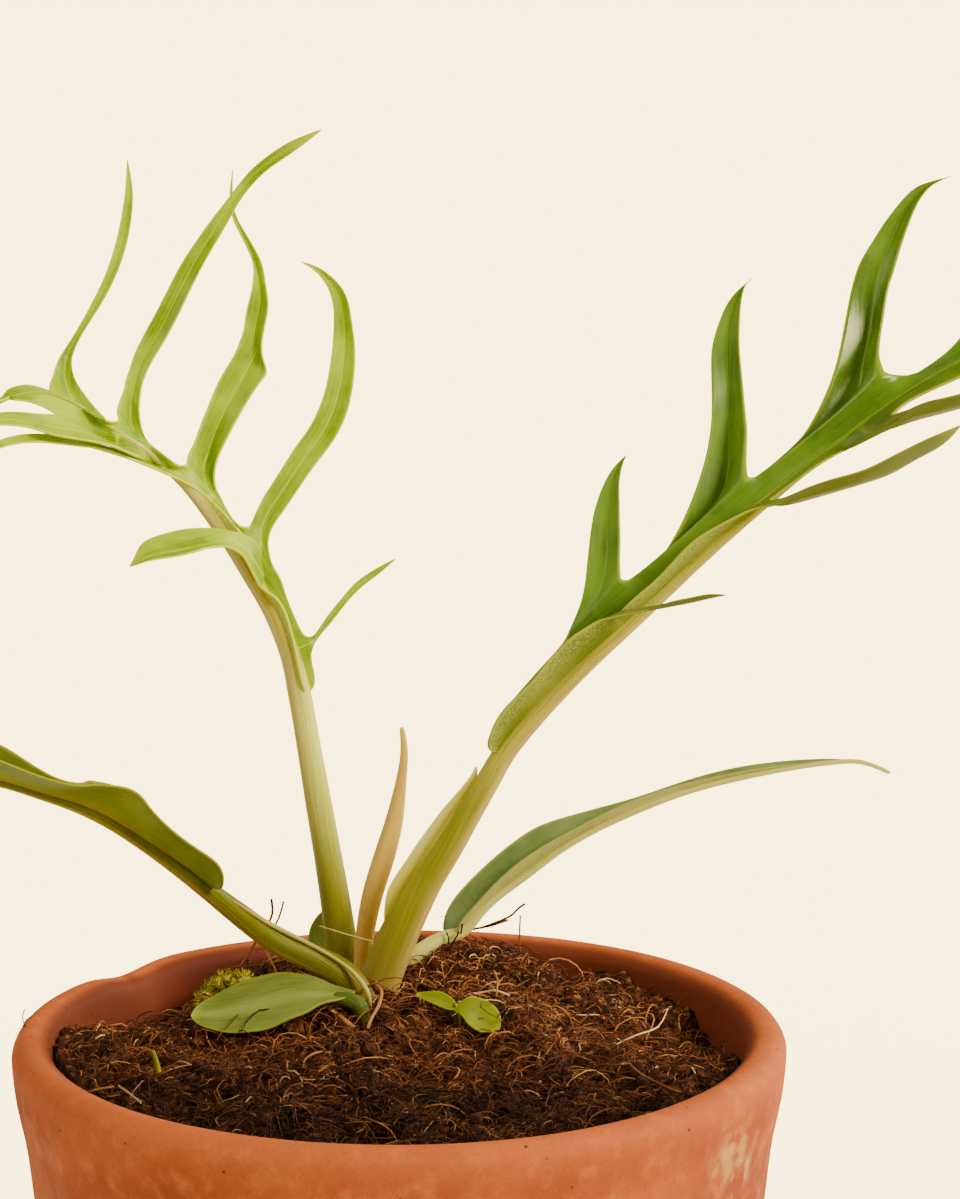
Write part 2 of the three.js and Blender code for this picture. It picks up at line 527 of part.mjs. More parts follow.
function thinStalk(points, grow = 0) {
  return stalk(points, { sides: 6, grow });
}

function makeStem(grow = 0) {
  return union([stalk(STEM, { grow, perSpan: 3 }), ...ROOTS.map((root) => thinStalk(root, grow))]);
}

function makeFrontLeaf(grow = 0) {
  const blade = lobe(FRONT_LEAF, FRONT_LEAF_FACE, { keel: FRONT_LEAF_KEEL, thickness: BLADE + 2 * grow });
  return thinStalk(FRONT_LEAF_STALK, grow).add(blade);
}

function leafWithLobes(stalkPoints, wings, lobeSets) {
  const pieces = [stalk(stalkPoints)];
  for (const half of wings) pieces.push(wing(stalkPoints, half));
  for (const { lobes, facing } of lobeSets) {
    for (const points of lobes) pieces.push(lobe(points, facing));
  }
  return union(pieces);
}

// What stands in the crown, from first to last: each is cut clear of the ones before it.
const taken = { solid: makeStem(GAP) };

function seat(solid, grown) {
  const fitted = largest(solid.subtract(taken.solid));
  taken.solid = taken.solid.add(grown);
  return fitted;
}

const rightLeaf = seat(
  leafWithLobes(RIGHT_STALK, RIGHT_WINGS, [
    { lobes: RIGHT_FAR_LOBES, facing: RIGHT_FAR_FACE },
    { lobes: RIGHT_NEAR_LOBES, facing: RIGHT_NEAR_FACE },
    { lobes: RIGHT_TIP_LOBE, facing: RIGHT_TIP_FACE },
    { lobes: [SHEATH], facing: SHEATH_FACE },
  ]),
  stalk(RIGHT_STALK.slice(0, 5), { grow: GAP }),
);
const leftLeaf = seat(
  leafWithLobes(LEFT_STALK, LEFT_WINGS, [
    { lobes: LEFT_FAR_LOBES, facing: LEFT_FAR_FACE },
    { lobes: LEFT_NEAR_LOBES, facing: LEFT_NEAR_FACE },
    { lobes: LEFT_TIP_LOBE, facing: LEFT_TIP_FACE },
  ]),
  stalk(LEFT_STALK.slice(0, 4), { grow: GAP }),
);
const archLeaf = seat(
  leafWithLobes(ARCH_STALK, ARCH_WINGS, [{ lobes: ARCH_TIP_LOBE, facing: ARCH_TIP_FACE }]),
  stalk(ARCH_STALK.slice(0, 4), { grow: GAP }),
);
const strapLeaf = seat(
  leafWithLobes(STRAP_STALK, STRAP_WINGS, [{ lobes: STRAP_TIP_LOBE, facing: STRAP_TIP_FACE }]),
  stalk(STRAP_STALK.slice(0, 4), { grow: GAP }),
);
const spike = seat(stalk(SPIKE, { flatten: SPIKE_FLATTEN }), stalk(SPIKE.slice(0, 4), { grow: GAP }));
const frontLeaf = seat(makeFrontLeaf(), makeFrontLeaf(GAP));
const backLeaf = seat(
  union([thinStalk(BACK_LEAF_STALK), lobe(BACK_LEAF, BACK_LEAF_FACE)]),
  thinStalk(BACK_LEAF_STALK, GAP),
);
const seedling = seat(
  union([thinStalk(SEEDLING_STEM), ...SEEDLING_LEAFLETS.map((leaflet) => lobe(leaflet, SEEDLING_FACE))]),
  thinStalk(SEEDLING_STEM, GAP),
);
const shoot = seat(thinStalk(SHOOT), thinStalk(SHOOT, GAP));
const soil = largest(makeSoil().add(makeFibres()).subtract(taken.solid));
const moss = largest(makeMoss().subtract(soil.translate([0, 0, GAP])));

addNode('pot', makePot(), CLAY);
addNode('soil', soil, EARTH);
addNode('stem_base', makeStem(), STEM_TAN);
addNode('leaf_right_divided', rightLeaf, DEEP_GREEN);
addNode('leaf_left_divided', leftLeaf, LIME);
addNode('leaf_left_arching', archLeaf, OLIVE);
addNode('leaf_right_strap', strapLeaf, GREY_GREEN);
addNode('leaf_small_front', frontLeaf, GREY_GREEN);
addNode('leaf_small_back', backLeaf, GREY_GREEN);
addNode('dry_spike', spike, DRY_TAN);
addNode('seedling', seedling, LIME);
addNode('small_shoot', shoot, LIME);
addNode('moss', moss, MOSS_GREEN);

export default group;
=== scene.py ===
# %% [markdown]
# # A young potted philodendron tortum
# This is a small divided-leaf philodendron, just rooted, standing in a clay pot of coir potting mix.
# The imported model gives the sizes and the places. Each piece below replaces one of its solids with
# the real thing's fine form and finish: thin folded leaves, streaked stalks, loose fibres and fired
# clay. Lengths are in millimetres, and are turned to metres where a mesh is made. Only the long
# tables of points are in tenths of a millimetre, which keeps them short.

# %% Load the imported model
import math
import random

import bmesh
import bpy
from mathutils import Matrix, Vector, noise


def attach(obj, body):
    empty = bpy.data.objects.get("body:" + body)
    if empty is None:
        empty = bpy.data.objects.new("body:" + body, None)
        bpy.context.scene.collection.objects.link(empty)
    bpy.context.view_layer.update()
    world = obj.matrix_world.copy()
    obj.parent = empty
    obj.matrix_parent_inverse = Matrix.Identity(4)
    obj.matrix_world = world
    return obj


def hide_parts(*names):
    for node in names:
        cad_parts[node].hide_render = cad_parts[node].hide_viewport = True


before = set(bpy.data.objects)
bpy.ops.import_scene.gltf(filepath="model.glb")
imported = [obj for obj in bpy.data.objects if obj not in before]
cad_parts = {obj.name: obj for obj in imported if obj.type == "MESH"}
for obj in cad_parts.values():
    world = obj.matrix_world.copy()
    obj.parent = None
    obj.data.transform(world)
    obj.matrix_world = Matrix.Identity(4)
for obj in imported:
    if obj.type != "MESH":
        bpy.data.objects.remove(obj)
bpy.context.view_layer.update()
scene = bpy.context.scene
MM = 0.001
print("solids to dress:", sorted(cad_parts))

# %% [markdown]
# ## Camera
# The pot's rim is a circle 90 mm across, and in the photograph it is an ellipse. Its width, its
# height and its slope fix where the camera stood: a short telephoto lens, a third of a metre in
# front, looking down by eight degrees.

# %% Camera
LOOKS_DOWN = 8.11
camera = bpy.data.objects.new("camera", bpy.data.cameras.new("camera"))
camera.data.lens = 85.0
camera.data.sensor_width = 36.0
camera.location = (9.31 * MM, -320.7 * MM, 175.6 * MM)
camera.rotation_euler = (math.radians(90 - LOOKS_DOWN), 0, 0)
scene.collection.objects.link(camera)
scene.camera = camera
print("camera", [round(v, 4) for v in camera.location], camera.data.lens, "mm")

# %% [markdown]
# ## Small helpers for shaders
# Every finish here is built from nodes. A few helpers keep that readable. The main ones add a node
# with its options and inputs in a single call, and lay one colour over another by a mask.

# %% Node helpers
def srgb(red, green, blue):
    """Linear colour from the 0 to 255 values seen in a picture."""
    parts = [value / 255 for value in (red, green, blue)]
    return (*[p / 12.92 if p < 0.04 else ((p + 0.055) / 1.055) ** 2.4 for p in parts], 1.0)


def fill(tree, node, inputs):
    """Fills a node's inputs with values or with other sockets."""
    for key, value in inputs.items():
        if isinstance(value, bpy.types.NodeSocket):
            tree.links.new(value, node.inputs[key])
        else:
            node.inputs[key].default_value = value


def add(tree, kind, inputs=None, **options):
    """Adds a node, sets its options, and fills its inputs."""
    made = tree.nodes.new("ShaderNode" + kind)
    for option, value in options.items():
        setattr(made, option, value)
    fill(tree, made, inputs or {})
    return made


def mix(tree, mask, first, second, blend="MIX"):
    """The first colour where the mask is 0, and the second where it is 1."""
    node = add(tree, "Mix", {0: mask, 6: first, 7: second}, data_type="RGBA", blend_type=blend)
    return node.outputs[2]


def maths(tree, operation, first, second, clamp=False):
    return add(tree, "Math", {0: first, 1: second}, operation=operation, use_clamp=clamp).outputs[0]


def times(tree, first, second):
    return maths(tree, "MULTIPLY", first, second, clamp=True)


def paint(tree, colour, mask, tint, strength):
    """Lays a tint over the colour where the mask says so, as far as the strength lets it."""
    return mix(tree, times(tree, mask, strength), colour, tint)


def band(tree, value, low, high):
    """0 below low and 1 above high, with a soft step between. It falls where low is above high."""
    node = add(tree, "MapRange", {0: value, 1: low, 2: high}, interpolation_type="SMOOTHSTEP")
    return node.outputs[0]


def attribute(tree, name, output="Fac"):
    return add(tree, "Attribute", attribute_name=name).outputs[output]


def own_place(tree, axis=None):
    """The object's own coordinates in metres, or one of them."""
    place = add(tree, "TexCoord").outputs["Object"]
    return add(tree, "SeparateXYZ", {0: place}).outputs[axis] if axis else place


def relief(tree, height, strength, distance):
    bump = add(tree, "Bump", {"Height": height, "Strength": strength, "Distance": distance * MM})
    return bump.outputs["Normal"]


def rough_height(tree, scale, detail=2.0):
    return add(tree, "TexNoise", {"Vector": own_place(tree), "Scale": scale, "Detail": detail}).outputs["Fac"]


def new_material(name):
    material = bpy.data.materials.new(name)
    material.use_nodes = True
    return material, material.node_tree, material.node_tree.nodes["Principled BSDF"]


# %% [markdown]
# ## Shared effects
# Clay, leaves and soil all show the same few things at different sizes: soft blotches, fine specks
# and streaks that follow the growth. Each is a node group with named inputs, built once and then
# placed in a material with its own sizes. Blotches and specks read the object's own coordinates.
# Streaks read an attribute called grain, which holds the distance across and along the surface in
# millimetres, so they bend with the leaf.

# %% Shared node groups
def new_group(name, inputs):
    """An empty node group with number inputs and one mask, its input sockets and where the mask goes."""
    group = bpy.data.node_groups.new(name, "ShaderNodeTree")
    for label, value in inputs.items():
        socket = group.interface.new_socket(label, in_out="INPUT", socket_type="NodeSocketFloat")
        socket.default_value = value
    group.interface.new_socket("Mask", in_out="OUTPUT", socket_type="NodeSocketFloat")
    result = group.nodes.new("NodeGroupOutput").inputs["Mask"]
    return group, group.nodes.new("NodeGroupInput").outputs, result


MM_IN_A_METRE = 1000.0

blotches, given, result = new_group("blotches", {"Size mm": 5.0, "Low": 0.4, "High": 0.6})
scale = maths(blotches, "DIVIDE", MM_IN_A_METRE, given["Size mm"])
cloud = add(blotches, "TexNoise", {"Vector": own_place(blotches), "Scale": scale, "Detail": 4.0})
blotches.links.new(band(blotches, cloud.outputs["Fac"], given["Low"], given["High"]), result)

specks, given, result = new_group("specks", {"Size mm": 1.0, "Share": 0.2, "Edge": 0.1})
scale = maths(specks, "DIVIDE", MM_IN_A_METRE, given["Size mm"])
cells = add(specks, "TexVoronoi", {"Vector": own_place(specks), "Scale": scale}).outputs
further = maths(specks, "ADD", given["Share"], given["Edge"])
dots = add(specks, "MapRange", {0: cells["Distance"], 1: given["Share"], 2: further, 3: 1.0, 4: 0.0})
chosen = add(specks, "SeparateColor", {0: cells["Color"]}).outputs[0]
some = maths(specks, "GREATER_THAN", chosen, 0.5)
specks.links.new(maths(specks, "MULTIPLY", dots.outputs[0], some), result)

streaks, given, result = new_group("streaks", {"Across mm": 0.3, "Along mm": 4.0})
grain = add(streaks, "SeparateXYZ", {0: attribute(streaks, "grain", "Vector")}).outputs
wide = maths(streaks, "DIVIDE", grain[0], given["Across mm"])
long = maths(streaks, "DIVIDE", grain[1], given["Along mm"])
flat = add(streaks, "CombineXYZ", {0: wide, 1: long}).outputs[0]
lines = add(streaks, "TexNoise", {"Vector": flat, "Scale": 1.0, "Detail": 3.0}).outputs["Fac"]
streaks.links.new(band(streaks, lines, 0.38, 0.62), result)


def effect(tree, group, **inputs):
    """Places a shared effect with its own sizes and gives its mask."""
    made = tree.nodes.new("ShaderNodeGroup")
    made.node_tree = group
    fill(tree, made, {label.replace("_", " "): value for label, value in inputs.items()})
    return made.outputs["Mask"]


print("shared effects:", blotches.name, specks.name, streaks.name)

# %% [markdown]
# ## Studio
# The plant stands on a pale floor that fades into an equally pale background, under three large
# soft lights: the main one to the right and in front, which puts the gloss on the leaves, a weaker
# one high on the left, and one behind on the right that lights the edges. The floor shows the pot's
# soft shadow close by. Further out it turns into the same even cream as the world behind it, so no
# horizon shows.

# %% Floor, background and lights
CREAM = (7.6, 5.9, 2.7, 1.0)
FADE_FROM, FADE_TO = 0.07, 0.32

world = bpy.data.worlds.new("studio")
scene.world = world
world.use_nodes = True
sky = world.node_tree
sky.nodes.clear()
seen = add(sky, "Background", {"Color": CREAM, "Strength": 1.0})
lit = add(sky, "Background", {"Color": (1.0, 0.88, 0.66, 1.0), "Strength": 0.42})
which = add(sky, "LightPath").outputs["Is Camera Ray"]
joined = add(sky, "MixShader", {0: which, 1: lit.outputs[0], 2: seen.outputs[0]})
sky.links.new(joined.outputs[0], add(sky, "OutputWorld").inputs["Surface"])

floor_bm = bmesh.new()
bmesh.ops.create_circle(floor_bm, cap_ends=True, segments=96, radius=6.0)
floor_mesh = bpy.data.meshes.new("floor")
floor_bm.to_mesh(floor_mesh)
floor_bm.free()
floor = bpy.data.objects.new("floor", floor_mesh)
scene.collection.objects.link(floor)

paper, tree, _ = new_material("floor_paper")
tree.nodes.clear()
matt = add(tree, "BsdfDiffuse", {"Color": (0.86, 0.82, 0.74, 1.0)})
glow = add(tree, "Emission", {"Color": CREAM, "Strength": 0.62})
near = add(tree, "AddShader", {0: matt.outputs[0], 1: glow.outputs[0]})
even = add(tree, "Emission", {"Color": CREAM, "Strength": 1.0})
away = add(tree, "VectorMath", {0: own_place(tree)}, operation="LENGTH")
far = band(tree, away.outputs["Value"], FADE_FROM, FADE_TO)
fade = add(tree, "MixShader", {0: far, 1: near.outputs[0], 2: even.outputs[0]})
dull = add(tree, "BsdfDiffuse", {"Color": (0.8, 0.76, 0.68, 1.0)})
which = add(tree, "LightPath").outputs["Is Camera Ray"]
shown = add(tree, "MixShader", {0: which, 1: dull.outputs[0], 2: fade.outputs[0]})
tree.links.new(shown.outputs[0], add(tree, "OutputMaterial").inputs["Surface"])
floor_mesh.materials.append(paper)

for name, place, size, watts, tint in [
        ("light_right", (0.78, -0.58, 0.72), 0.45, 16, (1.0, 0.92, 0.76)),
        ("light_left", (-0.9, -0.1, 0.9), 0.9, 7, (1.0, 0.95, 0.8)),
        ("light_back", (0.95, 0.45, 0.5), 0.8, 12, (1.0, 0.93, 0.78))]:
    lamp = bpy.data.lights.new(name, "AREA")
    lamp.shape, lamp.size, lamp.energy, lamp.color = "DISK", size, watts, tint
    held = bpy.data.objects.new(name, lamp)
    held.location = place
    held.rotation_euler = (Vector((0, 0, 0.11)) - Vector(place)).to_track_quat("-Z", "Y").to_euler()
    scene.collection.objects.link(held)
print("studio is lit")

# %% [markdown]
# ## Making a piece
# Each piece is built in a bmesh, in millimetres, and then written to a mesh in metres, so its object
# stays at the origin. It rides with the imported model's only body, hides the solid it replaces, and
# takes its materials. Modifiers that round or thicken it have equal levels in the view and in the
# render.

# %% Piece helpers
made_pieces = []


def add_piece(name, mesh, materials, node, rounds=0, thickness=0.0):
    for material in materials:
        mesh.materials.append(material)
    mesh.shade_smooth()
    piece = bpy.data.objects.new(name, mesh)
    scene.collection.objects.link(piece)
    if rounds:
        modifier = piece.modifiers.new("rounded", "SUBSURF")
        modifier.levels = modifier.render_levels = rounds
    if thickness:
        modifier = piece.modifiers.new("thickness", "SOLIDIFY")
        modifier.thickness = thickness * MM
        modifier.offset = 0.0
        modifier.material_offset = len(materials) - 1
    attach(piece, "root")
    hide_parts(node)
    made_pieces.append(piece)
    print(f"{name}: {len(mesh.polygons)} faces before its modifiers")
    return piece


def to_mesh(name, bm):
    """Writes a bmesh made in millimetres to a mesh in metres."""
    bmesh.ops.scale(bm, vec=(MM, MM, MM), verts=bm.verts)
    mesh = bpy.data.meshes.new(name)
    bm.to_mesh(mesh)
    bm.free()
    return mesh


def table(text):
    """Rows of numbers, in mm. Commas part the rows and spaces the numbers, which are tenths of a mm."""
    return [tuple(float(number) / 10 for number in row.split()) for row in text.split(",")]


def spin_round(outline, steps, closed=False):
    """Spins an outline of (radius, height) points round the pot's axis."""
    bm = bmesh.new()
    drawn = [bm.verts.new((radius, 0, z)) for radius, z in outline]
    edges = [bm.edges.new(pair) for pair in zip(drawn, drawn[1:] + drawn[:1] if closed else drawn[1:])]
    bmesh.ops.spin(bm, geom=drawn + edges, cent=(0, 0, 0), axis=(0, 0, 1), dvec=(0, 0, 0),
                   angle=2 * math.pi, steps=steps, use_merge=True)
    bmesh.ops.remove_doubles(bm, verts=bm.verts, dist=0.001)
    bmesh.ops.recalc_face_normals(bm, faces=bm.faces)
    return bm


def grow_row(bm, row, closed=False):
    """Extrudes a row of joined vertices and gives the new row in the same order."""
    ends = row[1:] + row[:1] if closed else row[1:]
    edges = [bm.edges.get(pair) for pair in zip(row, ends)]
    made = bmesh.ops.extrude_edge_only(bm, edges=edges)["geom"]
    fresh = {part for part in made if isinstance(part, bmesh.types.BMVert)}
    return [next(e.other_vert(v) for e in v.link_edges if e.other_vert(v) in fresh) for v in row]


def smooth(points, steps):
    """Points on a smooth curve through the given ones, with any number of values in each."""
    ends = [points[0], *points, points[-1]]
    made = []
    for before, start, end, after in zip(ends, ends[1:], ends[2:], ends[3:]):
        for step in range(steps):
            t = step / steps
            made.append([b + 0.5 * t * (c - a + t * (2 * a - 5 * b + 4 * c - d + t * (3 * b - a - 3 * c + d)))
                         for a, b, c, d in zip(before, start, end, after)])
    return made + [list(points[-1])]


# %% [markdown]
# ## Clay pot
# The pot is hand-finished terracotta: a plain tapering wall and a thick rounded lip, fired orange.
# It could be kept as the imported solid, but that has 48 flat sides, which show on the rim. So the
# wall's outline is drawn once and spun round the axis in 144 steps. The rim is then pressed a
# little out of true, with the shallow notch at the back left and a groove below it.

# %% Pot shape
RIM_RADIUS, FOOT_RADIUS, POT_HEIGHT = 45.0, 34.0, 80.0
POT_WALL, POT_FLOOR = 4.3, 5.0
LIP_RADIUS, LIP_BULGE, LIP_STEPS = 2.2, 0.45, 12
WALL_BULGE = 1.0
DRAIN_RADIUS = 6
WARP_FROM = 68
NOTCH_ANGLE, NOTCH_SPREAD, NOTCH_DEPTH = 2.53, 0.11, 1.1
GROOVE_ANGLE, GROOVE_SPREAD, GROOVE_DEPTH = 2.46, 0.05, 0.55


def outer_radius(z):
    share = z / POT_HEIGHT
    taper = FOOT_RADIUS + (RIM_RADIUS - LIP_BULGE - FOOT_RADIUS) * share
    return taper + WALL_BULGE * math.sin(math.pi * share)


def inner_radius(z):
    return outer_radius(z) - POT_WALL


outline = [(DRAIN_RADIUS, 0), (20, 0), (33, 0), (34, 1)]
outline += [(outer_radius(z), z) for z in (6, 14, 22, 30, 38, 46, 54, 60, 65)]
outline += [(outer_radius(69) + 0.05, 69), (RIM_RADIUS - 0.35, 73)]
for step in range(LIP_STEPS + 1):
    turn = math.pi * step / LIP_STEPS
    reach = LIP_RADIUS if math.cos(turn) > 0 else POT_WALL + LIP_BULGE - LIP_RADIUS
    outline.append((RIM_RADIUS - LIP_RADIUS + reach * math.cos(turn),
                    POT_HEIGHT - LIP_RADIUS + LIP_RADIUS * math.sin(turn)))
outline += [(inner_radius(z), z) for z in (74, 70, 62, 54, 46, 38, 30, 22, 14, 7)]
outline += [(inner_radius(5) - 2, POT_FLOOR), (DRAIN_RADIUS, POT_FLOOR)]

bm = spin_round(outline, steps=144, closed=True)
for vert in bm.verts:
    angle = math.atan2(vert.co.y, vert.co.x)
    high = min(max((vert.co.z - WARP_FROM) / (POT_HEIGHT - WARP_FROM), 0), 1) ** 2
    notch = NOTCH_DEPTH * math.exp(-(((angle - NOTCH_ANGLE) / NOTCH_SPREAD) ** 2))
    wave = 0.18 * (math.sin(2 * angle + 1) - 1)
    uneven = 0.1 * noise.noise(vert.co * 0.12) + 0.04 * noise.noise(vert.co * 0.5)
    groove = GROOVE_DEPTH * math.exp(-(((angle - GROOVE_ANGLE) / GROOVE_SPREAD) ** 2))
    inside = math.hypot(*vert.co.xy) < RIM_RADIUS - 2
    vert.co += Vector((vert.co.x, vert.co.y, 0)).normalized() * (uneven + groove * inside * high)
    vert.co.z += high * (wave - notch)
pot_mesh = to_mesh("clay_pot", bm)
print("pot:", len(pot_mesh.polygons), "faces, rim", 2 * RIM_RADIUS, "mm")

# %% [markdown]
# ## Fired clay
# Terracotta is dull orange, paler and pinker where it has worn or dried, with fine grit, small dark
# specks on the rim and a few whitish lime marks where hard water has dried. The top of the lip is
# painted lighter as a painted highlight. The inner wall is painted darker, partly for damp clay and
# partly as painted shade under the rim, and one dark patch in the groove below the notch is painted
# shade. Blotches of two sizes mix the oranges, specks darken single grains, and each mark is a soft
# patch round one place.

# %% Clay material
clay, tree, shader = new_material("fired_clay")
place = own_place(tree)
height = add(tree, "SeparateXYZ", {0: place}).outputs["Z"]
broad = effect(tree, blotches, Size_mm=14.0, Low=0.35, High=0.7)
small = effect(tree, blotches, Size_mm=2.6, Low=0.45, High=0.8)
fine = effect(tree, blotches, Size_mm=0.5, Low=0.42, High=0.75)
colour = mix(tree, broad, srgb(162, 70, 28), srgb(194, 92, 36))
colour = mix(tree, small, colour, srgb(206, 108, 46))
# Painted highlight: the top of the lip is painted a lighter orange, as light from above would make it.
colour = paint(tree, colour, band(tree, height, 0.0745, 0.0785), srgb(204, 104, 46), 0.5)
colour = paint(tree, colour, fine, srgb(130, 58, 28), 0.22)
# The last of these patches is painted shade: a dark patch on the inner wall in the groove below the notch.
for centre, radius, tint, strength in [
        ((37, -25, 72), 7.0, srgb(226, 180, 96), 0.55), ((39, -22.5, 69), 3.4, srgb(250, 226, 170), 0.8),
        ((-29.5, 34, 79), 3.0, srgb(236, 170, 110), 0.85), ((-38, -22, 70), 9.0, srgb(180, 110, 60), 0.5),
        ((-33, 23, 76), 5.5, srgb(96, 46, 26), 0.9)]:
    apart = add(tree, "VectorMath", {0: place, 1: [v * MM for v in centre]}, operation="DISTANCE")
    patch = band(tree, apart.outputs["Value"], radius * MM, radius * 0.3 * MM)
    torn = times(tree, patch, effect(tree, blotches, Size_mm=3.0, Low=0.4, High=0.66))
    colour = paint(tree, colour, torn, tint, strength)
flat = add(tree, "VectorMath", {0: place, 1: (1, 1, 0)}, operation="MULTIPLY").outputs[0]
from_axis = add(tree, "VectorMath", {0: flat}, operation="LENGTH").outputs["Value"]
# Damp and painted shade: the inner wall is painted much darker, partly for damp clay and partly as the shade
# under the rim.
damp_and_shade = times(tree, band(tree, from_axis, 0.0424, 0.0412), band(tree, height, 0.0803, 0.0790))
colour = paint(tree, colour, damp_and_shade, srgb(108, 46, 24), 0.94)
grit = effect(tree, specks, Size_mm=2.1, Share=0.07, Edge=0.05)
rim_grit = times(tree, grit, band(tree, height, 0.070, 0.077))
colour = paint(tree, colour, rim_grit, srgb(74, 38, 24), 0.85)
fill(tree, shader, {
    "Base Color": colour, "Roughness": 0.72, "Specular IOR Level": 0.2,
    "Normal": relief(tree, rough_height(tree, 2600.0, 5.0), 0.35, 0.12)})
add_piece("clay_pot", pot_mesh, [clay], "pot", rounds=1)

# %% [markdown]
# ## Potting mix
# The mix is coir: dark brown crumbs held in a mat of fine fibres. A flat disc with a picture of soil
# would give itself away at the rim, where the surface rises and falls. The bed is a spun disc whose
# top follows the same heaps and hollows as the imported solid, with lumps and grit added from cell
# noise. Loose crumbs and thousands of fibres then lie on it.

# %% Soil bed
SOIL_LEVEL = 77.9
SOIL_HEAPS = [(-2, 9, 2.8, 13), (9, 32, 2.3, 6.5), (-37, -4, 1.2, 9), (-31, 23, -5.2, 7),
              (38, 8, -4.4, 10), (22, -6, 0.9, 9), (-8, -26, 0.6, 12), (-37, 14, -3.6, 6),
              (18, 35, -2.6, 5), (10, 22, 2.4, 4.5), (2, -12, -1.8, 6), (14, -24, -1.2, 7)]
SOIL_RINGS, SOIL_STEPS = 104, 360
SHOULDER = SOIL_LEVEL - 8
EDGE_RADIUS = inner_radius(SOIL_LEVEL - 2) - 0.1


def soil_height(x, y):
    """The heaps and hollows, each [x, y, rise, spread]."""
    height = SOIL_LEVEL
    for centre_x, centre_y, rise, spread in SOIL_HEAPS:
        away = (x - centre_x) ** 2 + (y - centre_y) ** 2
        height += rise * math.exp(-away / (2 * spread * spread))
    return height


def soil_top(x, y):
    """The heaps with clumps of 7 mm, lumps of 3 mm and grit of 1.2 mm, and dark pits between them."""
    place = Vector((x, y, 3.0))
    clumps = noise.noise(place / 7)
    lumps = 0.45 - noise.voronoi(place / 3.1)[0][0]
    grit = 0.45 - noise.voronoi(place / 1.2)[0][0]
    pit = min(max(noise.noise(place / 4.5 + Vector((9, 4, 0))) - 0.18, 0), 0.2)
    return soil_height(x, y) + 1.9 * clumps + 1.7 * lumps + 0.7 * grit - 13 * pit


outline = [(0.0, POT_FLOOR + 0.3), (inner_radius(POT_FLOOR) - 2.3, POT_FLOOR + 0.3),
           (inner_radius(40) - 0.4, 40), (inner_radius(SHOULDER) - 0.3, SHOULDER)]
outline += [(EDGE_RADIUS * (1 - ring / SOIL_RINGS), SOIL_LEVEL) for ring in range(SOIL_RINGS + 1)]
bm = spin_round(outline, SOIL_STEPS)
for vert in bm.verts:
    if vert.co.z > SOIL_LEVEL - 0.5:
        vert.co.z = soil_top(vert.co.x, vert.co.y)
        away = math.hypot(vert.co.x, vert.co.y)
        if away > EDGE_RADIUS - 0.1:
            vert.co.xy *= (inner_radius(vert.co.z) - 0.1) / away
soil_mesh = to_mesh("soil_bed", bm)
print("soil bed:", len(soil_mesh.polygons), "faces")

# %% [markdown]
# ## Soil finish
# Damp coir is nearly black in its hollows and red-brown where a crumb stands up and has dried. Two
# sizes of blotches carry that, and the bump breaks the surface into grit. It is dull all over, and
# it has painted shade that darkens it towards the front.

# %% Soil material
# Painted shade: the soil and its fibres are multiplied darker towards the front, as the shade there.
def shade_painted_in_front(tree, colour):
    front = times(tree, band(tree, own_place(tree, "Y"), -0.002, -0.024), 0.9)
    return mix(tree, front, colour, (0.3, 0.26, 0.24, 1.0), "MULTIPLY")


def earth_material(name, dark, mid, light):
    material, tree, shader = new_material(name)
    colour = mix(tree, effect(tree, blotches, Size_mm=3.2, Low=0.4, High=0.62), dark, mid)
    colour = mix(tree, effect(tree, blotches, Size_mm=0.9, Low=0.5, High=0.68), colour, light)
    fill(tree, shader, {
        "Base Color": shade_painted_in_front(tree, colour), "Roughness": 0.8, "Specular IOR Level": 0.08,
        "Normal": relief(tree, rough_height(tree, 2200.0, 6.0), 0.9, 0.3)})
    return material


earth = earth_material("damp_coir", srgb(24, 12, 7), srgb(70, 37, 19), srgb(134, 80, 44))
crumb_finish = earth_material("dry_crumbs", srgb(40, 20, 10), srgb(72, 38, 20), srgb(110, 64, 36))
add_piece("soil_bed", soil_mesh, [earth], "soil")

# %% [markdown]
# ## Loose crumbs
# Crumbs of coir and bark lie between the fibres. A few rough crumb shapes are made from small balls
# pushed in and out by noise. Copies of them, each turned and sized by a seeded draw, are set into
# the surface, so no two next to each other look alike.

# %% Crumbs
CRUMB_SHAPES, CRUMB_COUNT, CRUMB_REACH = 10, 900, 38.4

draw = random.Random(11)
crumb_shapes = []
for number in range(CRUMB_SHAPES):
    bm = bmesh.new()
    bmesh.ops.create_uvsphere(bm, u_segments=7, v_segments=5, radius=1.0)
    for vert in bm.verts:
        vert.co *= 1 + 0.45 * noise.noise(vert.co * 1.6 + Vector((7 * number, 0, 0)))
    shape = bpy.data.meshes.new("crumb_shape")
    bm.to_mesh(shape)
    bm.free()
    crumb_shapes.append(shape)


def spot_in_pot(reach):
    """An even draw of a place on the soil, in mm from the middle."""
    angle, radius = draw.uniform(0, 2 * math.pi), reach * math.sqrt(draw.random())
    return radius * math.cos(angle), radius * math.sin(angle)


bm = bmesh.new()
for number in range(CRUMB_COUNT):
    x, y = spot_in_pot(CRUMB_REACH)
    size = min(draw.expovariate(1 / 0.22) + 0.15, 0.9)
    turn = Matrix.Rotation(draw.uniform(0, 6.3), 4, (draw.random(), draw.random(), draw.random() + 0.1))
    stretch = Matrix.Diagonal((size * draw.uniform(0.8, 1.5), size, size * draw.uniform(0.6, 1), 1))
    shift = Matrix.Translation((x, y, soil_top(x, y) + 0.2 * size))
    copy = draw.choice(crumb_shapes).copy()
    copy.transform(shift @ turn @ stretch)
    bm.from_mesh(copy)
    bpy.data.meshes.remove(copy)
add_piece("soil_crumbs", to_mesh("soil_crumbs", bm), [crumb_finish], "soil")

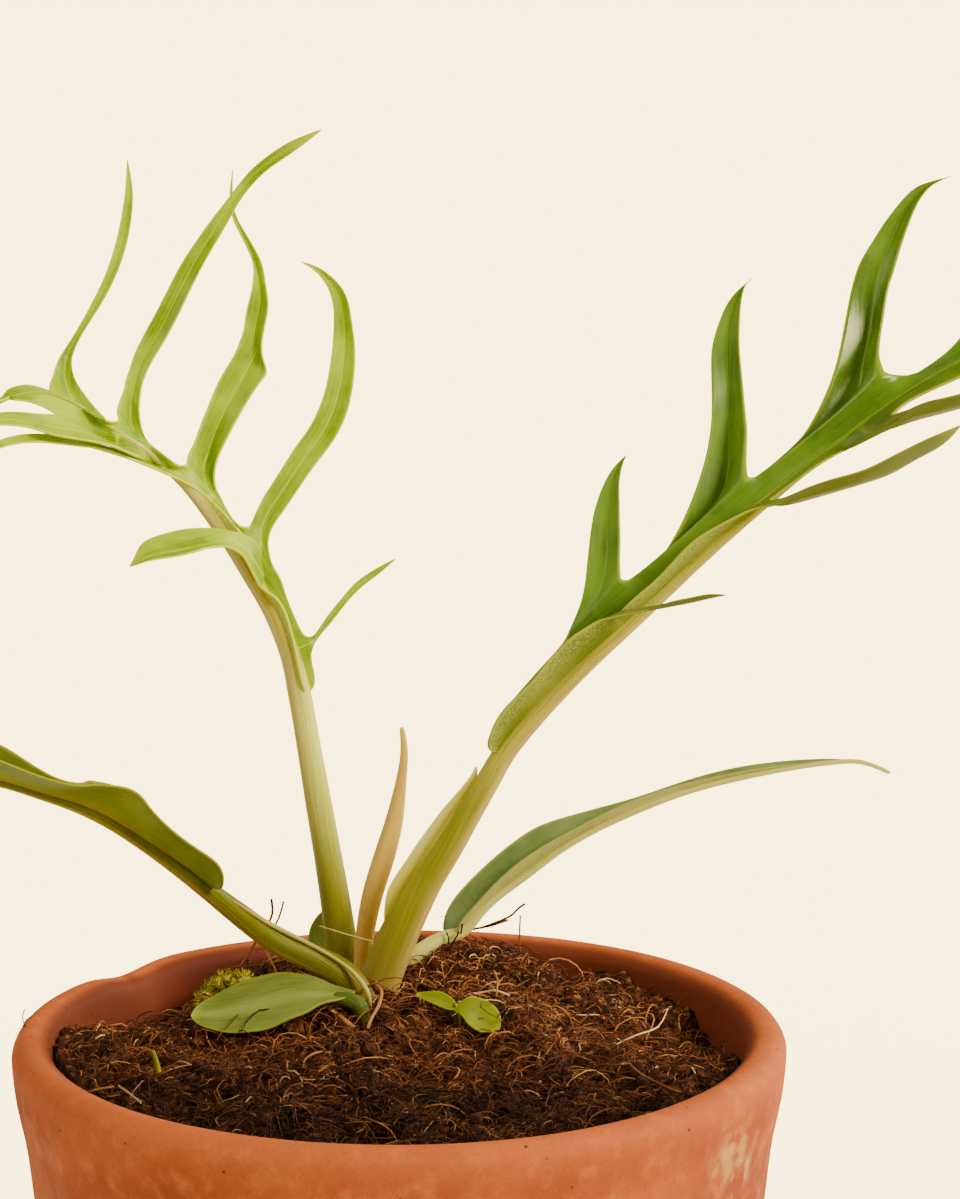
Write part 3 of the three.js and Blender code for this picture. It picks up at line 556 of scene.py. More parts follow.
# %% [markdown]
# ## Coir fibres
# The mat of fibres is what makes this soil look real. Each fibre is a thin round curve a few
# millimetres long that starts in the soil and bends through the air, and comes to rest on it again.
# Curves make the tubes at once, with a radius at each point, and are then turned into one mesh. Most
# are dark or brown, some tan and a few pale, which is drawn fibre by fibre.

# %% Fibre finishes
def fibre_material(name, dark, light):
    material, tree, shader = new_material(name)
    colour = mix(tree, effect(tree, blotches, Size_mm=4.0, Low=0.4, High=0.6), dark, light)
    fill(tree, shader, {
        "Base Color": shade_painted_in_front(tree, colour), "Roughness": 0.55, "Specular IOR Level": 0.15,
        "Specular Tint": (1.0, 0.8, 0.5, 1.0),
        "Normal": relief(tree, rough_height(tree, 5000.0), 0.4, 0.05)})
    return material


fibre_finishes = [
    fibre_material("fibre_dark", srgb(50, 26, 14), srgb(84, 46, 25)),
    fibre_material("fibre_brown", srgb(92, 49, 26), srgb(138, 78, 42)),
    fibre_material("fibre_tan", srgb(158, 97, 52), srgb(206, 140, 80)),
    fibre_material("fibre_pale", srgb(226, 178, 112), srgb(250, 216, 150)),
    fibre_material("fibre_black", srgb(24, 13, 10), srgb(44, 26, 20)),
    fibre_material("moss_leaves", srgb(128, 120, 18), srgb(190, 184, 46)),
]
DARK, BROWN, TAN, PALE, BLACK, MOSSY = range(6)

# %% Curves to one mesh
def add_strands(name, strands, node):
    """Makes one piece of strands. Each is its points, in mm and with a diameter, and its finish."""
    curve = bpy.data.curves.new(name, "CURVE")
    curve.dimensions = "3D"
    curve.bevel_depth = 0.5 * MM
    curve.bevel_resolution = 0
    curve.use_fill_caps = True
    for finish in fibre_finishes:
        curve.materials.append(finish)
    for points, finish in strands:
        spline = curve.splines.new("POLY")
        spline.points.add(len(points) - 1)
        for target, (x, y, z, diameter) in zip(spline.points, points):
            target.co = (x * MM, y * MM, z * MM, 1)
            target.radius = diameter
        spline.material_index = finish
    holder = bpy.data.objects.new(name, curve)
    scene.collection.objects.link(holder)
    bpy.context.view_layer.update()
    mesh = bpy.data.meshes.new_from_object(holder)
    bpy.data.objects.remove(holder)
    return add_piece(name, mesh, [], node)


def bent_fibre(length, thickness, steps, rise, curl, around):
    """A fibre that starts in the soil and bends through the air, or None if it leaves the pot.
    Rise is its first slope. After its first point it never dips more than 0.15 mm into the soil."""
    x, y = spot_in_pot(39.2)
    if around:
        x, y = draw.gauss(around[0], around[2]), draw.gauss(around[1], around[2])
    z = soil_top(x, y) - 0.2
    heading, slope = draw.uniform(0, 2 * math.pi), rise
    turn, droop = draw.gauss(0, curl), draw.uniform(0.0, 0.45) + rise * 0.25
    points = []
    for step in range(steps + 1):
        if math.hypot(x, y) > min(inner_radius(z) - 0.2, 39.8):
            return None
        size = thickness * (1 - 0.6 * abs(2 * step / steps - 1) ** 3)
        points.append((x, y, z, size))
        stride = length / steps
        x += stride * math.cos(heading) * math.cos(slope)
        y += stride * math.sin(heading) * math.cos(slope)
        z = max(z + stride * math.sin(slope), soil_top(x, y) + draw.uniform(-0.15, 0.1))
        heading += turn + draw.gauss(0, 0.32)
        slope -= droop
    return points


def fibre_mat(name, count, lengths, thicknesses, steps, rises, curl, shares, around=None):
    """Draws fibres. Shares are those of the first four finishes, and around is [x, y, spread]."""
    strands = []
    while len(strands) < count:
        points = bent_fibre(draw.uniform(*lengths), draw.uniform(*thicknesses), steps,
                            draw.uniform(*rises), curl, around)
        if points:
            strands.append((points, draw.choices(range(4), shares)[0]))
    return add_strands(name, strands, "soil")


# name, count, lengths, thicknesses, steps, first slopes, curl, shares and, for two of them, around
fibre_mat("coir_fluff", 5400, (0.8, 2.8), (0.09, 0.2), 4, (0.1, 1.3), 0.5, (56, 36, 7, 1))
fibre_mat("coir_mat", 5400, (1.2, 4.0), (0.08, 0.19), 4, (0.0, 0.9), 0.4, (54, 37, 8, 1))
fibre_mat("coir_loose", 2300, (3.0, 10.0), (0.1, 0.22), 7, (0.0, 0.9), 0.22, (40, 42, 15, 3))
fibre_mat("coir_crown", 520, (1.5, 4.5), (0.1, 0.2), 4, (0.2, 1.2), 0.4, (30, 44, 22, 4), (9, 14, 6))
fibre_mat("coir_straw", 34, (1.5, 5.5), (0.14, 0.24), 7, (0.0, 0.35), 0.1, (0, 10, 60, 30), (22, 4, 10))

# %% [markdown]
# ## How a leaf is grown
# A leaf has two parts. The stalk runs on into the midrib, a tapering rod. The blade is a thin sheet
# on both sides of it. A blade could be cut from a flat outline, but then its lobes couldn't fold
# and curl. Here each half is grown the way the leaf grows. A row of points on the midrib is
# extruded out to the margin, and then each lobe is extruded row by row from the part of the margin
# it stands on. Subdivision rounds the notches between lobes, and Solidify gives the sheet its
# thickness and its paler underside.
#
# While it grows, every vertex notes how far it is from the vein (across), how far out along its
# lobe (reach), and its distance across and along in millimetres (grain). The finishes read these.

# %% Stalks and half blades
LOBE_SHARES = (-1.0, -0.5, 0.0, 0.5, 1.0)
WING_SHARES = (0.35, 0.7, 1.0)
SETTLED_AFTER = 6


def growth_layers(bm):
    floats = bm.verts.layers.float
    return (bm.verts.layers.float_vector.new("grain"), floats.new("across"), floats.new("reach"))


def blade_layers(bm):
    return (*growth_layers(bm), bm.edges.layers.float.new("crease_edge"))


def tube(bm, points, layers, sides=10, steps=3, under=(0.5, -0.2, -0.8), flatten=1.0):
    """Sweeps a circle along [x, y, z, diameter] points. Across is 1 on the side that faces under."""
    grain, across, reach = layers
    rail = smooth(points, steps)
    under = Vector(under).normalized()
    side, length, ring = Vector((1, 0, 0)), 0.0, None
    for index, (x, y, z, diameter) in enumerate(rail):
        centre = Vector((x, y, z))
        ahead = Vector(rail[min(index + 1, len(rail) - 1)][:3])
        behind = Vector(rail[max(index - 1, 0)][:3])
        length += (centre - behind).length
        tangent = (ahead - behind).normalized()
        side = (side - tangent * side.dot(tangent)).normalized()
        up = tangent.cross(side)
        if ring is None:
            ring = bmesh.ops.create_circle(bm, cap_ends=True, segments=sides, radius=1)["verts"]
        else:
            ring = grow_row(bm, ring, closed=True)
        for turn, vert in enumerate(ring):
            angle = 2 * math.pi * turn / sides
            outward = side * math.cos(angle) + up * math.sin(angle) * flatten
            vert.co = centre + outward * diameter / 2
            lean = outward.normalized().dot(under)
            vert[grain] = (math.acos(max(min(lean, 1), -1)) * diameter / 2, length, 0)
            vert[across] = 0.5 + 0.5 * lean
            vert[reach] = index / (len(rail) - 1)
    bmesh.ops.edgeloop_fill(bm, edges=[bm.edges.get(pair) for pair in zip(ring, ring[1:] + ring[:1])])
    bmesh.ops.recalc_face_normals(bm, faces=bm.faces)


def base_points(rows):
    """The five points across a lobe's first row."""
    left, right = Vector(rows[0][:3]), Vector(rows[0][3:])
    return [left.lerp(right, share / 2 + 0.5) for share in LOBE_SHARES]


def join_in_row(bm, points):
    row = [bm.verts.new(point) for point in points]
    for pair in zip(row, row[1:]):
        bm.edges.new(pair)
    return row


def turned_to(face, bm):
    """The sheet, flipped where its upper side would look away from the given direction."""
    bm.normal_update()
    if sum((f.normal * f.calc_area() for f in bm.faces), Vector()).dot(face) < 0:
        bmesh.ops.reverse_faces(bm, faces=bm.faces)
    return bm


def margin_of(text):
    """A margin's table, from the leaf's base to its tip. Slashes part plain edge from lobes, whose
    rows hold both their edges."""
    margin = []
    for stretch in text.split("/"):
        rows = table(stretch)
        margin += [rows] if len(rows[0]) == 6 else rows
    return margin


def half_blade(rib, text, face, fold=0.13, arch=0.25, ripple=0.12):
    """Grows one half of a blade from its midrib to its margin. Face is the way that the upper
    surface looks, and arch how far the wing bulges away from it."""
    bm = bmesh.new()
    layers = grain, across, _, crease = blade_layers(bm)
    face, margin = Vector(face), margin_of(text)
    rail = [Vector(point[:3]) for point in smooth(rib, 12)]
    marks = []
    for part in margin:
        if isinstance(part, list):
            marks += zip(base_points(part), LOBE_SHARES)
        else:
            marks.append((Vector(part), 1.0))
    feet, at = [], -1
    for place, _ in marks:
        near = min(range(len(rail)), key=lambda i: (rail[i] - place).length)
        at = min(max(at + 1, near), len(rail) - 1)
        feet.append(rail[at])
    row = join_in_row(bm, feet)
    for out in WING_SHARES:
        before = row
        row = grow_row(bm, row)
        along = 0.0
        for index, (vert, foot, (place, share)) in enumerate(zip(row, feet, marks)):
            along += (foot - feet[max(index - 1, 0)]).length
            vert.co = foot.lerp(place, out) - face.normalized() * arch * math.sin(math.pi * out)
            vert[across] = out * abs(share)
            vert[grain] = (out * (place - foot).length, along, 0)
            if share == 0.0:
                bm.edges.get((before[index], vert))[crease] = 0.2
    index = 0
    for part in margin:
        if isinstance(part, list):
            grow_lobe(bm, row[index:index + 5], smooth(part, 2), face, fold, ripple, layers)
        index += 5 if isinstance(part, list) else 1
    return turned_to(face, bm)


def grow_lobe(bm, cells, rows, face, fold, ripple, layers):
    """Extrudes a lobe from five margin vertices, folded along its vein."""
    grain, across, reach, crease = layers
    middles = [(Vector(row[:3]) + Vector(row[3:])) / 2 for row in rows]
    length = 0.0
    for number in range(1, len(rows)):
        left, right = Vector(rows[number][:3]), Vector(rows[number][3:])
        ahead = middles[min(number + 1, len(rows) - 1)] - middles[number - 1]
        length += (middles[number] - middles[number - 1]).length
        upward = (right - left).cross(ahead).normalized()
        if upward.dot(face) < 0:
            upward.negate()
        width = (right - left).length
        settled = min(number / SETTLED_AFTER, 1)
        below = cells
        cells = grow_row(bm, cells)
        for share, vert in zip(LOBE_SHARES, cells):
            sink = fold * width * (1 - abs(share) ** 1.3) * settled
            place = left.lerp(right, share / 2 + 0.5)
            wavy = ripple * abs(share) * noise.noise(place * 0.28) * settled * min(width / 2, 1)
            vert.co = place + upward * (wavy - sink)
            vert[grain] = (share * width / 2, length, 0)
            vert[across] = abs(share)
            vert[reach] = number / (len(rows) - 1)
        bm.edges.get((below[2], cells[2]))[crease] = 0.2 + 0.4 * settled


def single_blade(rows, face, fold=0.12, ripple=0.12):
    """A blade without a midrib of its own, grown from its first row as one lobe."""
    bm = bmesh.new()
    layers = grain, across, _, _ = blade_layers(bm)
    face = Vector(face)
    row = join_in_row(bm, base_points(rows))
    width = (Vector(rows[0][3:]) - Vector(rows[0][:3])).length
    for share, vert in zip(LOBE_SHARES, row):
        vert[across] = abs(share)
        vert[grain] = (share * width / 2, 0, 0)
    grow_lobe(bm, row, smooth(rows, 3), face, fold, ripple, layers)
    return turned_to(face, bm)


def edges_of(points, face):
    """Rows of both edges from [x, y, z, width] points of a midline."""
    rows = []
    for index, (x, y, z, width) in enumerate(points):
        ahead = Vector(points[min(index + 1, len(points) - 1)][:3]) - Vector(points[max(index - 1, 0)][:3])
        side = ahead.cross(Vector(face)).normalized() * width / 2
        middle = Vector((x, y, z))
        rows.append([*(middle - side), *(middle + side)])
    return rows


print("a lobe has", len(LOBE_SHARES), "points across, a half blade", len(WING_SHARES) + 1)

# %% [markdown]
# ## Leaf and stalk finishes
# A fresh leaf is smooth and waxy. Its colour runs deeper between the veins and lighter on the vein
# and the thin margin, and new growth is lime where old growth is deep green. The upper face is glossy
# with a fine quilting that breaks the highlight. The underside is paler, duller and speckled. Both
# are one recipe with other colours, so a function makes them, and another makes the stalks.

# %% Leaf materials
def light_through(weight, radius, scale):
    return {"Subsurface Weight": weight, "Subsurface Radius": radius, "Subsurface Scale": scale * MM}


def leaf_material(name, deep, bright, vein, margin, tip, gloss, speckle=None, vein_width=0.13, dots=0.0,
                  lobe=None, shine=0.25, wing_vein=0.6, matt_to=None, through=None):
    """A leaf face. Speckle is a paler tint for a fine grain near the margin, dots the strength of
    yellow spots, lobe another tint for the lobes, wing_vein how much the rib's tint shows beside it,
    matt_to the place along X, in metres, up to which the older lobes are duller, and through how
    light comes through: its share, its reach by colour, and its depth in mm."""
    material, tree, shader = new_material(name)
    deep, bright, vein, margin, tip = [srgb(*tint) for tint in (deep, bright, vein, margin, tip)]
    across, reach = attribute(tree, "across"), attribute(tree, "reach")
    lines = effect(tree, streaks, Across_mm=0.35, Along_mm=6.0)
    soft = effect(tree, blotches, Size_mm=7.0, Low=0.36, High=0.66)
    colour = paint(tree, mix(tree, soft, deep, bright), lines, vein, 0.22)
    colour = paint(tree, colour, effect(tree, blotches, Size_mm=0.6, Low=0.48, High=0.7), bright, 0.16)
    if speckle:
        flecks = effect(tree, blotches, Size_mm=0.16, Low=0.46, High=0.62)
        outer = times(tree, band(tree, across, 0.3, 0.75), 0.8)
        colour = paint(tree, colour, flecks, srgb(*speckle), outer)
    if lobe:
        colour = paint(tree, colour, band(tree, reach, 0.0, 0.2), srgb(*lobe), 0.8)
    if dots:
        spots = effect(tree, specks, Size_mm=4.2, Share=0.05, Edge=0.035)
        colour = paint(tree, colour, spots, srgb(190, 196, 40), dots)
    drawn = add(tree, "MapRange", {0: reach, 2: 0.12, 3: wing_vein, 4: 0.6}).outputs[0]
    colour = paint(tree, colour, band(tree, across, vein_width, 0.0), vein, drawn)
    colour = paint(tree, colour, band(tree, across, 0.88, 1.0), margin, 0.75)
    colour = paint(tree, colour, band(tree, reach, 0.82, 1.0), tip, 0.7)
    roughness = add(tree, "MapRange", {0: soft, 3: gloss, 4: gloss + 0.12}).outputs[0]
    if matt_to:
        older = band(tree, own_place(tree, "X"), matt_to + 0.002, matt_to - 0.002)
        roughness = maths(tree, "ADD", roughness, times(tree, older, 0.22), clamp=True)
    quilt = add(tree, "TexVoronoi", {"Vector": own_place(tree), "Scale": 2100.0}).outputs["Distance"]
    fill(tree, shader, {
        "Base Color": colour, "Roughness": roughness, "Specular IOR Level": shine,
        "Specular Tint": (1.0, 1.0, 0.55, 1.0),
        "Normal": relief(tree, maths(tree, "ADD", quilt, lines), 0.07, 0.05),
        **(light_through(*through) if through else {})})
    return material


def stalk_material(name, upper, lower, streak, base, pale, gloss=0.34, far=None, far_from=0.7, base_to=0.2,
                   base_full=0.0, middle=None):
    """A stalk. Lower is the tint of the ridge underneath, base the one near the soil, middle the one
    where the blade begins, and far the one of the thin end that runs on as a vein."""
    material, tree, shader = new_material(name)
    upper, lower, streak, base, pale = [srgb(*tint) for tint in (upper, lower, streak, base, pale)]
    across, reach = attribute(tree, "across"), attribute(tree, "reach")
    if middle:
        upper = mix(tree, band(tree, reach, 0.3, 0.42), upper, srgb(*middle))
    colour = mix(tree, band(tree, across, 0.6, 0.95), upper, lower)
    lines = effect(tree, streaks, Across_mm=0.22, Along_mm=9.0)
    colour = paint(tree, colour, lines, streak, 0.4)
    colour = paint(tree, colour, effect(tree, streaks, Across_mm=0.8, Along_mm=22.0), pale, 0.28)
    colour = paint(tree, colour, band(tree, reach, base_to, base_full), base, 0.9)
    if far:
        colour = mix(tree, band(tree, reach, far_from, far_from + 0.1), colour, srgb(*far))
    colour = paint(tree, colour, effect(tree, specks, Size_mm=0.5, Share=0.1, Edge=0.12), base, 0.4)
    fill(tree, shader, {
        "Base Color": colour, "Roughness": gloss, "Specular IOR Level": 0.22,
        "Specular Tint": (1.0, 0.96, 0.5, 1.0), "Normal": relief(tree, lines, 0.4, 0.08),
        **light_through(0.12, (0.7, 0.5, 0.15), 1.0)})
    return material


def blade_piece(name, bm, materials, node, thickness=0.28):
    """A blade, thickest at its base and down to about a quarter of that at the lobes' tips."""
    piece = add_piece(name, to_mesh(name, bm), materials, node, rounds=2, thickness=thickness)
    body = piece.vertex_groups.new(name="body")
    for index, value in enumerate(piece.data.attributes["reach"].data):
        body.add([index], 1 - 0.8 * value.value ** 2, "REPLACE")
    modifier = piece.modifiers["thickness"]
    modifier.vertex_group = body.name
    modifier.thickness_vertex_group = 0.1


def stalk_piece(name, points, material, node, **shape):
    bm = bmesh.new()
    tube(bm, points, growth_layers(bm), **shape)
    add_piece(name, to_mesh(name, bm), [material], node, rounds=1)


print("leaf recipes ready")

# %% [markdown]
# ## Right divided leaf: midrib and stalk
# The largest leaf rises to the right on a thick olive stalk that thins into a midrib. Its underside
# is a pale tan ridge, painted paler still as its highlight, and fine green streaks run along it. The
# points are the imported model's own, each with the stalk's diameter there.

# %% Right stalk
RIGHT_STALK = table("""
    -40 114 765 52, -32 110 807 55, -13 105 858 52, 7 100 903 48, 31 95 947 40, 56 90 987 36, 81 90 1031 33,
    104 90 1071 31, 123 90 1104 29, 152 90 1140 27, 183 90 1173 24, 223 90 1213 21, 281 90 1267 19, 356 90
    1338 16, 427 90 1401 14, 490 90 1453 11, 559 90 1507 8, 628 90 1553 6, 695 90 1586 5, 760 90 1616 4
""")
# Partly painted highlight: the lower colour is the ridge's own tan, painted paler on the stalk's lower right
# side, where the main light falls.
right_stalk_finish = stalk_material(
    "right_stalk_skin", upper=(152, 150, 30), lower=(230, 194, 100), streak=(108, 112, 18),
    base=(152, 118, 50), pale=(186, 178, 60), middle=(206, 192, 66), far=(110, 138, 16), far_from=0.68)
stalk_piece("right_leaf_stalk", RIGHT_STALK, right_stalk_finish, "leaf_right_divided",
            under=(0.8, -0.1, -0.6))

# %% [markdown]
# ## Right divided leaf: blade
# From this side the far half shows its glossy deep green upper face, with four narrow lobes. The near
# half is folded towards us, so its pale speckled underside shows as a band over the midrib. Three
# thin lobes leave it towards the front. Each lobe's rows are its left and right edge.

# %% Right blade
RIGHT_FAR = """
    112 96 1107, 110 100 1119, 114 102 1135, 130 104 1163, 149 104 1184, 168 102 1207, 184 100 1224
    / 195 99 1239 259 101 1308, 206 107 1263 258 109 1320, 215 117 1288 258 119 1334, 220 134 1320 259 130
    1352, 224 147 1350 259 141 1372, 229 156 1382 259 148 1393, 238 163 1409 259 157 1418, 251 165 1433 263
    163 1438, 267 165 1449 268 165 1450
    / 269 105 1306 407 99 1429, 290 108 1317 406 112 1443, 307 111 1333 407 125 1464, 331 120 1371 408 136
    1484, 354 139 1424 407 153 1507, 366 154 1468 406 162 1528, 370 166 1510 404 170 1553, 369 184 1563 402
    176 1580, 374 188 1592 403 184 1612, 386 192 1625 405 188 1633, 401 191 1645 409 189 1650, 416 190 1657
    417 190 1659
    / 418 108 1428 565 96 1551, 435 110 1441 561 110 1565, 462 117 1465 561 123 1576, 481 125 1487 564 135
    1594, 497 134 1515 568 146 1611, 512 146 1550 573 158 1637, 522 161 1586 578 167 1654, 531 177 1628 583
    171 1667, 542 189 1669 592 179 1695, 558 196 1697 602 188 1721, 576 201 1725 613 195 1746, 598 204 1753
    623 196 1761, 619 203 1770 634 197 1771, 653 200 1779 654 200 1780
    / 598 118 1545 724 90 1611, 621 121 1559 724 103 1624, 648 129 1580 726 119 1636, 670 139 1609 731 133
    1655, 691 153 1639 742 147 1677, 709 163 1667 753 157 1697, 732 173 1694 767 167 1714, 756 172 1715 776
    168 1727, 783 170 1735 786 170 1736
"""
RIGHT_NEAR = """
    113 80 1104, 104 68 1109, 102 62 1119, 105 60 1129, 111 60 1146, 123 60 1163, 142 61 1181, 156 62 1194,
    173 64 1218, 189 64 1235, 201 64 1246, 214 65 1254, 225 66 1261
    / 233 64 1265 259 72 1275, 247 58 1269 266 62 1278, 264 45 1275 279 47 1282, 287 22 1283 295 18 1289, 315
    -8 1293 311 -22 1300, 336 -38 1302 332 -52 1309, 354 -57 1309 349 -71 1315, 367 -79 1315 367 -81 1316
    / 267 68 1284, 280 68 1296, 299 68 1311, 321 68 1336, 336 68 1353, 352 68 1365, 368 68 1374, 388 68 1385
    / 409 66 1395 429 70 1404, 427 56 1400 444 56 1409, 444 50 1402 455 34 1417, 463 36 1408 475 4 1431, 488
    15 1418 495 -25 1442, 525 -19 1434 523 -61 1454, 553 -45 1448 547 -95 1472, 578 -66 1466 575 -114 1489,
    603 -91 1483 596 -129 1501, 617 -118 1506 617 -122 1509
    / 442 70 1414, 469 70 1434, 490 70 1450
    / 516 84 1461 568 52 1505, 536 70 1472 575 38 1510, 560 53 1487 586 19 1517, 584 27 1500 600 -7 1526, 610
    5 1510 614 -35 1533, 636 -19 1520 632 -61 1539, 663 -46 1527 658 -84 1544, 691 -72 1535 688 -100 1548, 719
    -98 1536 719 -102 1539
    / 584 70 1518, 612 70 1532, 648 70 1548, 682 70 1563, 713 80 1577
"""
RIGHT_TIP = table("""
    693 84 1579 687 104 1589, 724 80 1595 716 108 1609, 749 75 1612 743 105 1628, 775 76 1632 771 96 1644, 798
    79 1655 798 81 1657
""")
right_upper = leaf_material(
    "right_leaf_upper", deep=(66, 104, 6), bright=(96, 136, 8), vein=(120, 154, 20),
    margin=(160, 176, 24), tip=(120, 150, 20), gloss=0.2, dots=0.9, shine=0.5, wing_vein=0.1,
    matt_to=0.045)
right_near_upper = leaf_material(
    "right_lobe_upper", deep=(66, 96, 8), bright=(96, 126, 12), vein=(130, 140, 40),
    margin=(190, 192, 60), tip=(140, 146, 30), gloss=0.34, lobe=(134, 140, 54))
right_under = leaf_material(
    "right_leaf_underside", deep=(104, 120, 26), bright=(130, 142, 38), vein=(152, 150, 44),
    margin=(190, 190, 76), tip=(136, 144, 36), gloss=0.42, speckle=(200, 204, 92))

RIGHT_RIB = RIGHT_STALK[7:]
far = half_blade(RIGHT_RIB, RIGHT_FAR, face=(-0.35, -0.85, 0.35), fold=0.22)
blade_piece("right_leaf_far_half", far, [right_upper, right_under], "leaf_right_divided")
near = half_blade(RIGHT_RIB, RIGHT_NEAR, face=(-0.45, 0.3, 0.84), arch=-0.3)
blade_piece("right_leaf_near_half", near, [right_near_upper, right_under], "leaf_right_divided")

# %% [markdown]
# ## Left divided leaf
# This leaf is younger, so it is bright lime and thinner, and its lobes are longer and more twisted.
# It is made in the same way. The stalk is pale lime; its near-white upper side and long whitish
# streaks are partly a painted highlight. The midrib turns tan-pink underneath. The tips of both
# leaves are single blades that end the midribs.

# %% Left leaf
LEFT_STALK = table("""
    -56 176 764 40, -68 176 800 42, -75 170 840 42, -84 162 908 39, -93 155 970 36, -103 150 1033 34, -114 145
    1105 31, -124 140 1168 30, -134 135 1213 26, -154 125 1266 23, -179 110 1313 21, -203 95 1356 19, -226 80
    1393 17, -249 60 1426 14, -277 40 1455 11, -306 15 1480 8, -336 -15 1505 6, -364 -50 1530 5, -398 -80 1542
    4.5, -432 -110 1533 4, -476 -140 1508 4
""")
LEFT_FAR = """
    -110 144 1167, -104 142 1176, -105 141 1191, -109 140 1206
    / -108 137 1216 -115 143 1234, -105 143 1225 -107 145 1234, -96 154 1237 -100 154 1242, -83 170 1251 -91
    170 1255, -67 181 1271 -76 179 1272, -49 185 1289 -59 183 1292, -28 189 1304 -38 187 1307, -9 190 1321 -10
    190 1322
    / -120 136 1240, -131 130 1268, -138 126 1288, -142 122 1307
    / -152 113 1323 -180 123 1368, -157 117 1341 -176 127 1377, -157 122 1356 -171 130 1388, -151 129 1371
    -162 139 1405, -138 137 1389 -154 143 1417, -123 146 1411 -144 150 1433, -107 153 1434 -127 159 1460, -89
    163 1457 -112 165 1480, -75 168 1478 -100 172 1503, -64 177 1505 -91 179 1529, -58 183 1538 -85 185 1562,
    -56 189 1574 -82 191 1597, -60 190 1607 -82 190 1624, -65 187 1636 -87 185 1646, -78 183 1656 -98 181
    1663, -98 181 1672 -110 179 1673, -119 180 1679 -120 180 1679
    / -188 80 1373 -249 92 1446, -197 86 1382 -249 102 1456, -208 96 1401 -244 112 1466, -217 102 1415 -239
    122 1480, -219 107 1431 -234 129 1495, -216 113 1449 -227 135 1512, -205 121 1473 -218 143 1535, -192 131
    1498 -208 149 1553, -178 139 1522 -198 153 1570, -166 147 1539 -192 157 1584, -159 150 1550 -187 162 1599,
    -165 153 1568 -185 167 1616, -165 159 1588 -182 171 1630, -160 166 1613 -178 174 1646, -158 170 1630 -176
    178 1662, -162 177 1654 -177 183 1678, -166 179 1678 -184 181 1695, -180 180 1704 -193 180 1714, -194 181
    1728 -200 179 1729, -200 180 1751 -204 180 1753, -199 180 1787 -200 180 1787
    / -251 29 1448 -320 31 1502, -269 41 1458 -324 47 1511, -289 51 1474 -323 61 1521, -298 60 1491 -319 72
    1533, -301 67 1508 -317 77 1545, -301 73 1522 -314 83 1555, -299 78 1540 -310 86 1569, -289 85 1564 -302
    91 1588, -272 88 1591 -284 96 1621, -256 91 1621 -271 97 1646, -239 94 1656 -255 98 1676, -223 98 1686
    -239 98 1700, -201 101 1722 -217 99 1730, -184 101 1752 -195 99 1757, -159 101 1781 -172 99 1786, -128 96
    1802 -139 96 1811, -107 91 1817 -113 93 1824, -89 90 1831 -90 90 1832
    / -322 -38 1504 -387 -42 1539, -337 -26 1517 -390 -30 1546, -354 -13 1536 -388 -15 1555, -364 -4 1551 -386
    -4 1565, -369 6 1565 -383 6 1575, -369 12 1578 -378 12 1584, -359 21 1601 -366 19 1603, -337 27 1635 -347
    25 1637, -318 31 1672 -330 29 1673, -306 32 1709 -318 28 1710, -300 32 1748 -310 28 1748, -301 31 1774
    -307 29 1774, -305 30 1796 -306 30 1797
    / -406 -64 1550, -421 -84 1548, -430 -96 1544
    / -431 -112 1534 -473 -128 1524, -450 -102 1552 -474 -110 1548, -461 -91 1581 -479 -97 1579, -465 -84 1609
    -483 -88 1611, -463 -73 1641 -475 -75 1645, -455 -62 1671 -457 -62 1673
"""
LEFT_NEAR = """
    -114 136 1165, -117 122 1173, -121 120 1195, -125 119 1215, -130 116 1240, -136 112 1267, -147 108 1287
    / -162 72 1300 -161 140 1317, -172 62 1321 -165 118 1337, -182 54 1341 -171 98 1353, -192 39 1352 -180 81
    1364, -203 23 1358 -192 65 1370, -214 -2 1359 -212 54 1374, -227 -22 1357 -232 46 1375, -246 -37 1354 -253
    37 1374, -266 -47 1352 -273 27 1371, -281 -49 1349 -290 13 1365, -292 -45 1345 -299 -1 1356, -303 -28 1340
    -304 -24 1341
    / -179 86 1356, -197 82 1380, -217 76 1404, -237 68 1421
    / -254 22 1436 -287 44 1451, -282 -3 1452 -308 14 1465, -307 -24 1465 -330 -12 1475, -333 -49 1477 -353
    -38 1485, -360 -78 1484 -373 -68 1493, -392 -107 1489 -393 -96 1497, -414 -132 1489 -416 -120 1497, -434
    -158 1483 -437 -146 1491, -453 -176 1470 -458 -156 1476, -469 -182 1454 -471 -178 1455
    / -296 -21 1466 -338 -2 1485, -315 -48 1478 -354 -30 1501, -335 -73 1487 -369 -56 1512, -369 -104 1495
    -387 -86 1518, -400 -120 1506 -405 -108 1521, -427 -144 1511 -430 -126 1523, -450 -164 1511 -453 -150
    1521, -473 -178 1506 -477 -162 1511, -488 -182 1500 -490 -178 1500
    / -343 -30 1491, -360 -50 1503, -377 -70 1517, -398 -90 1532, -420 -106 1535
"""
LEFT_TIP = table("""
    -427 -101 1538 -421 -111 1538, -452 -111 1530 -440 -129 1530, -482 -132 1511 -470 -152 1511, -521 -155
    1470 -511 -173 1470, -541 -179 1420 -539 -181 1420
""")
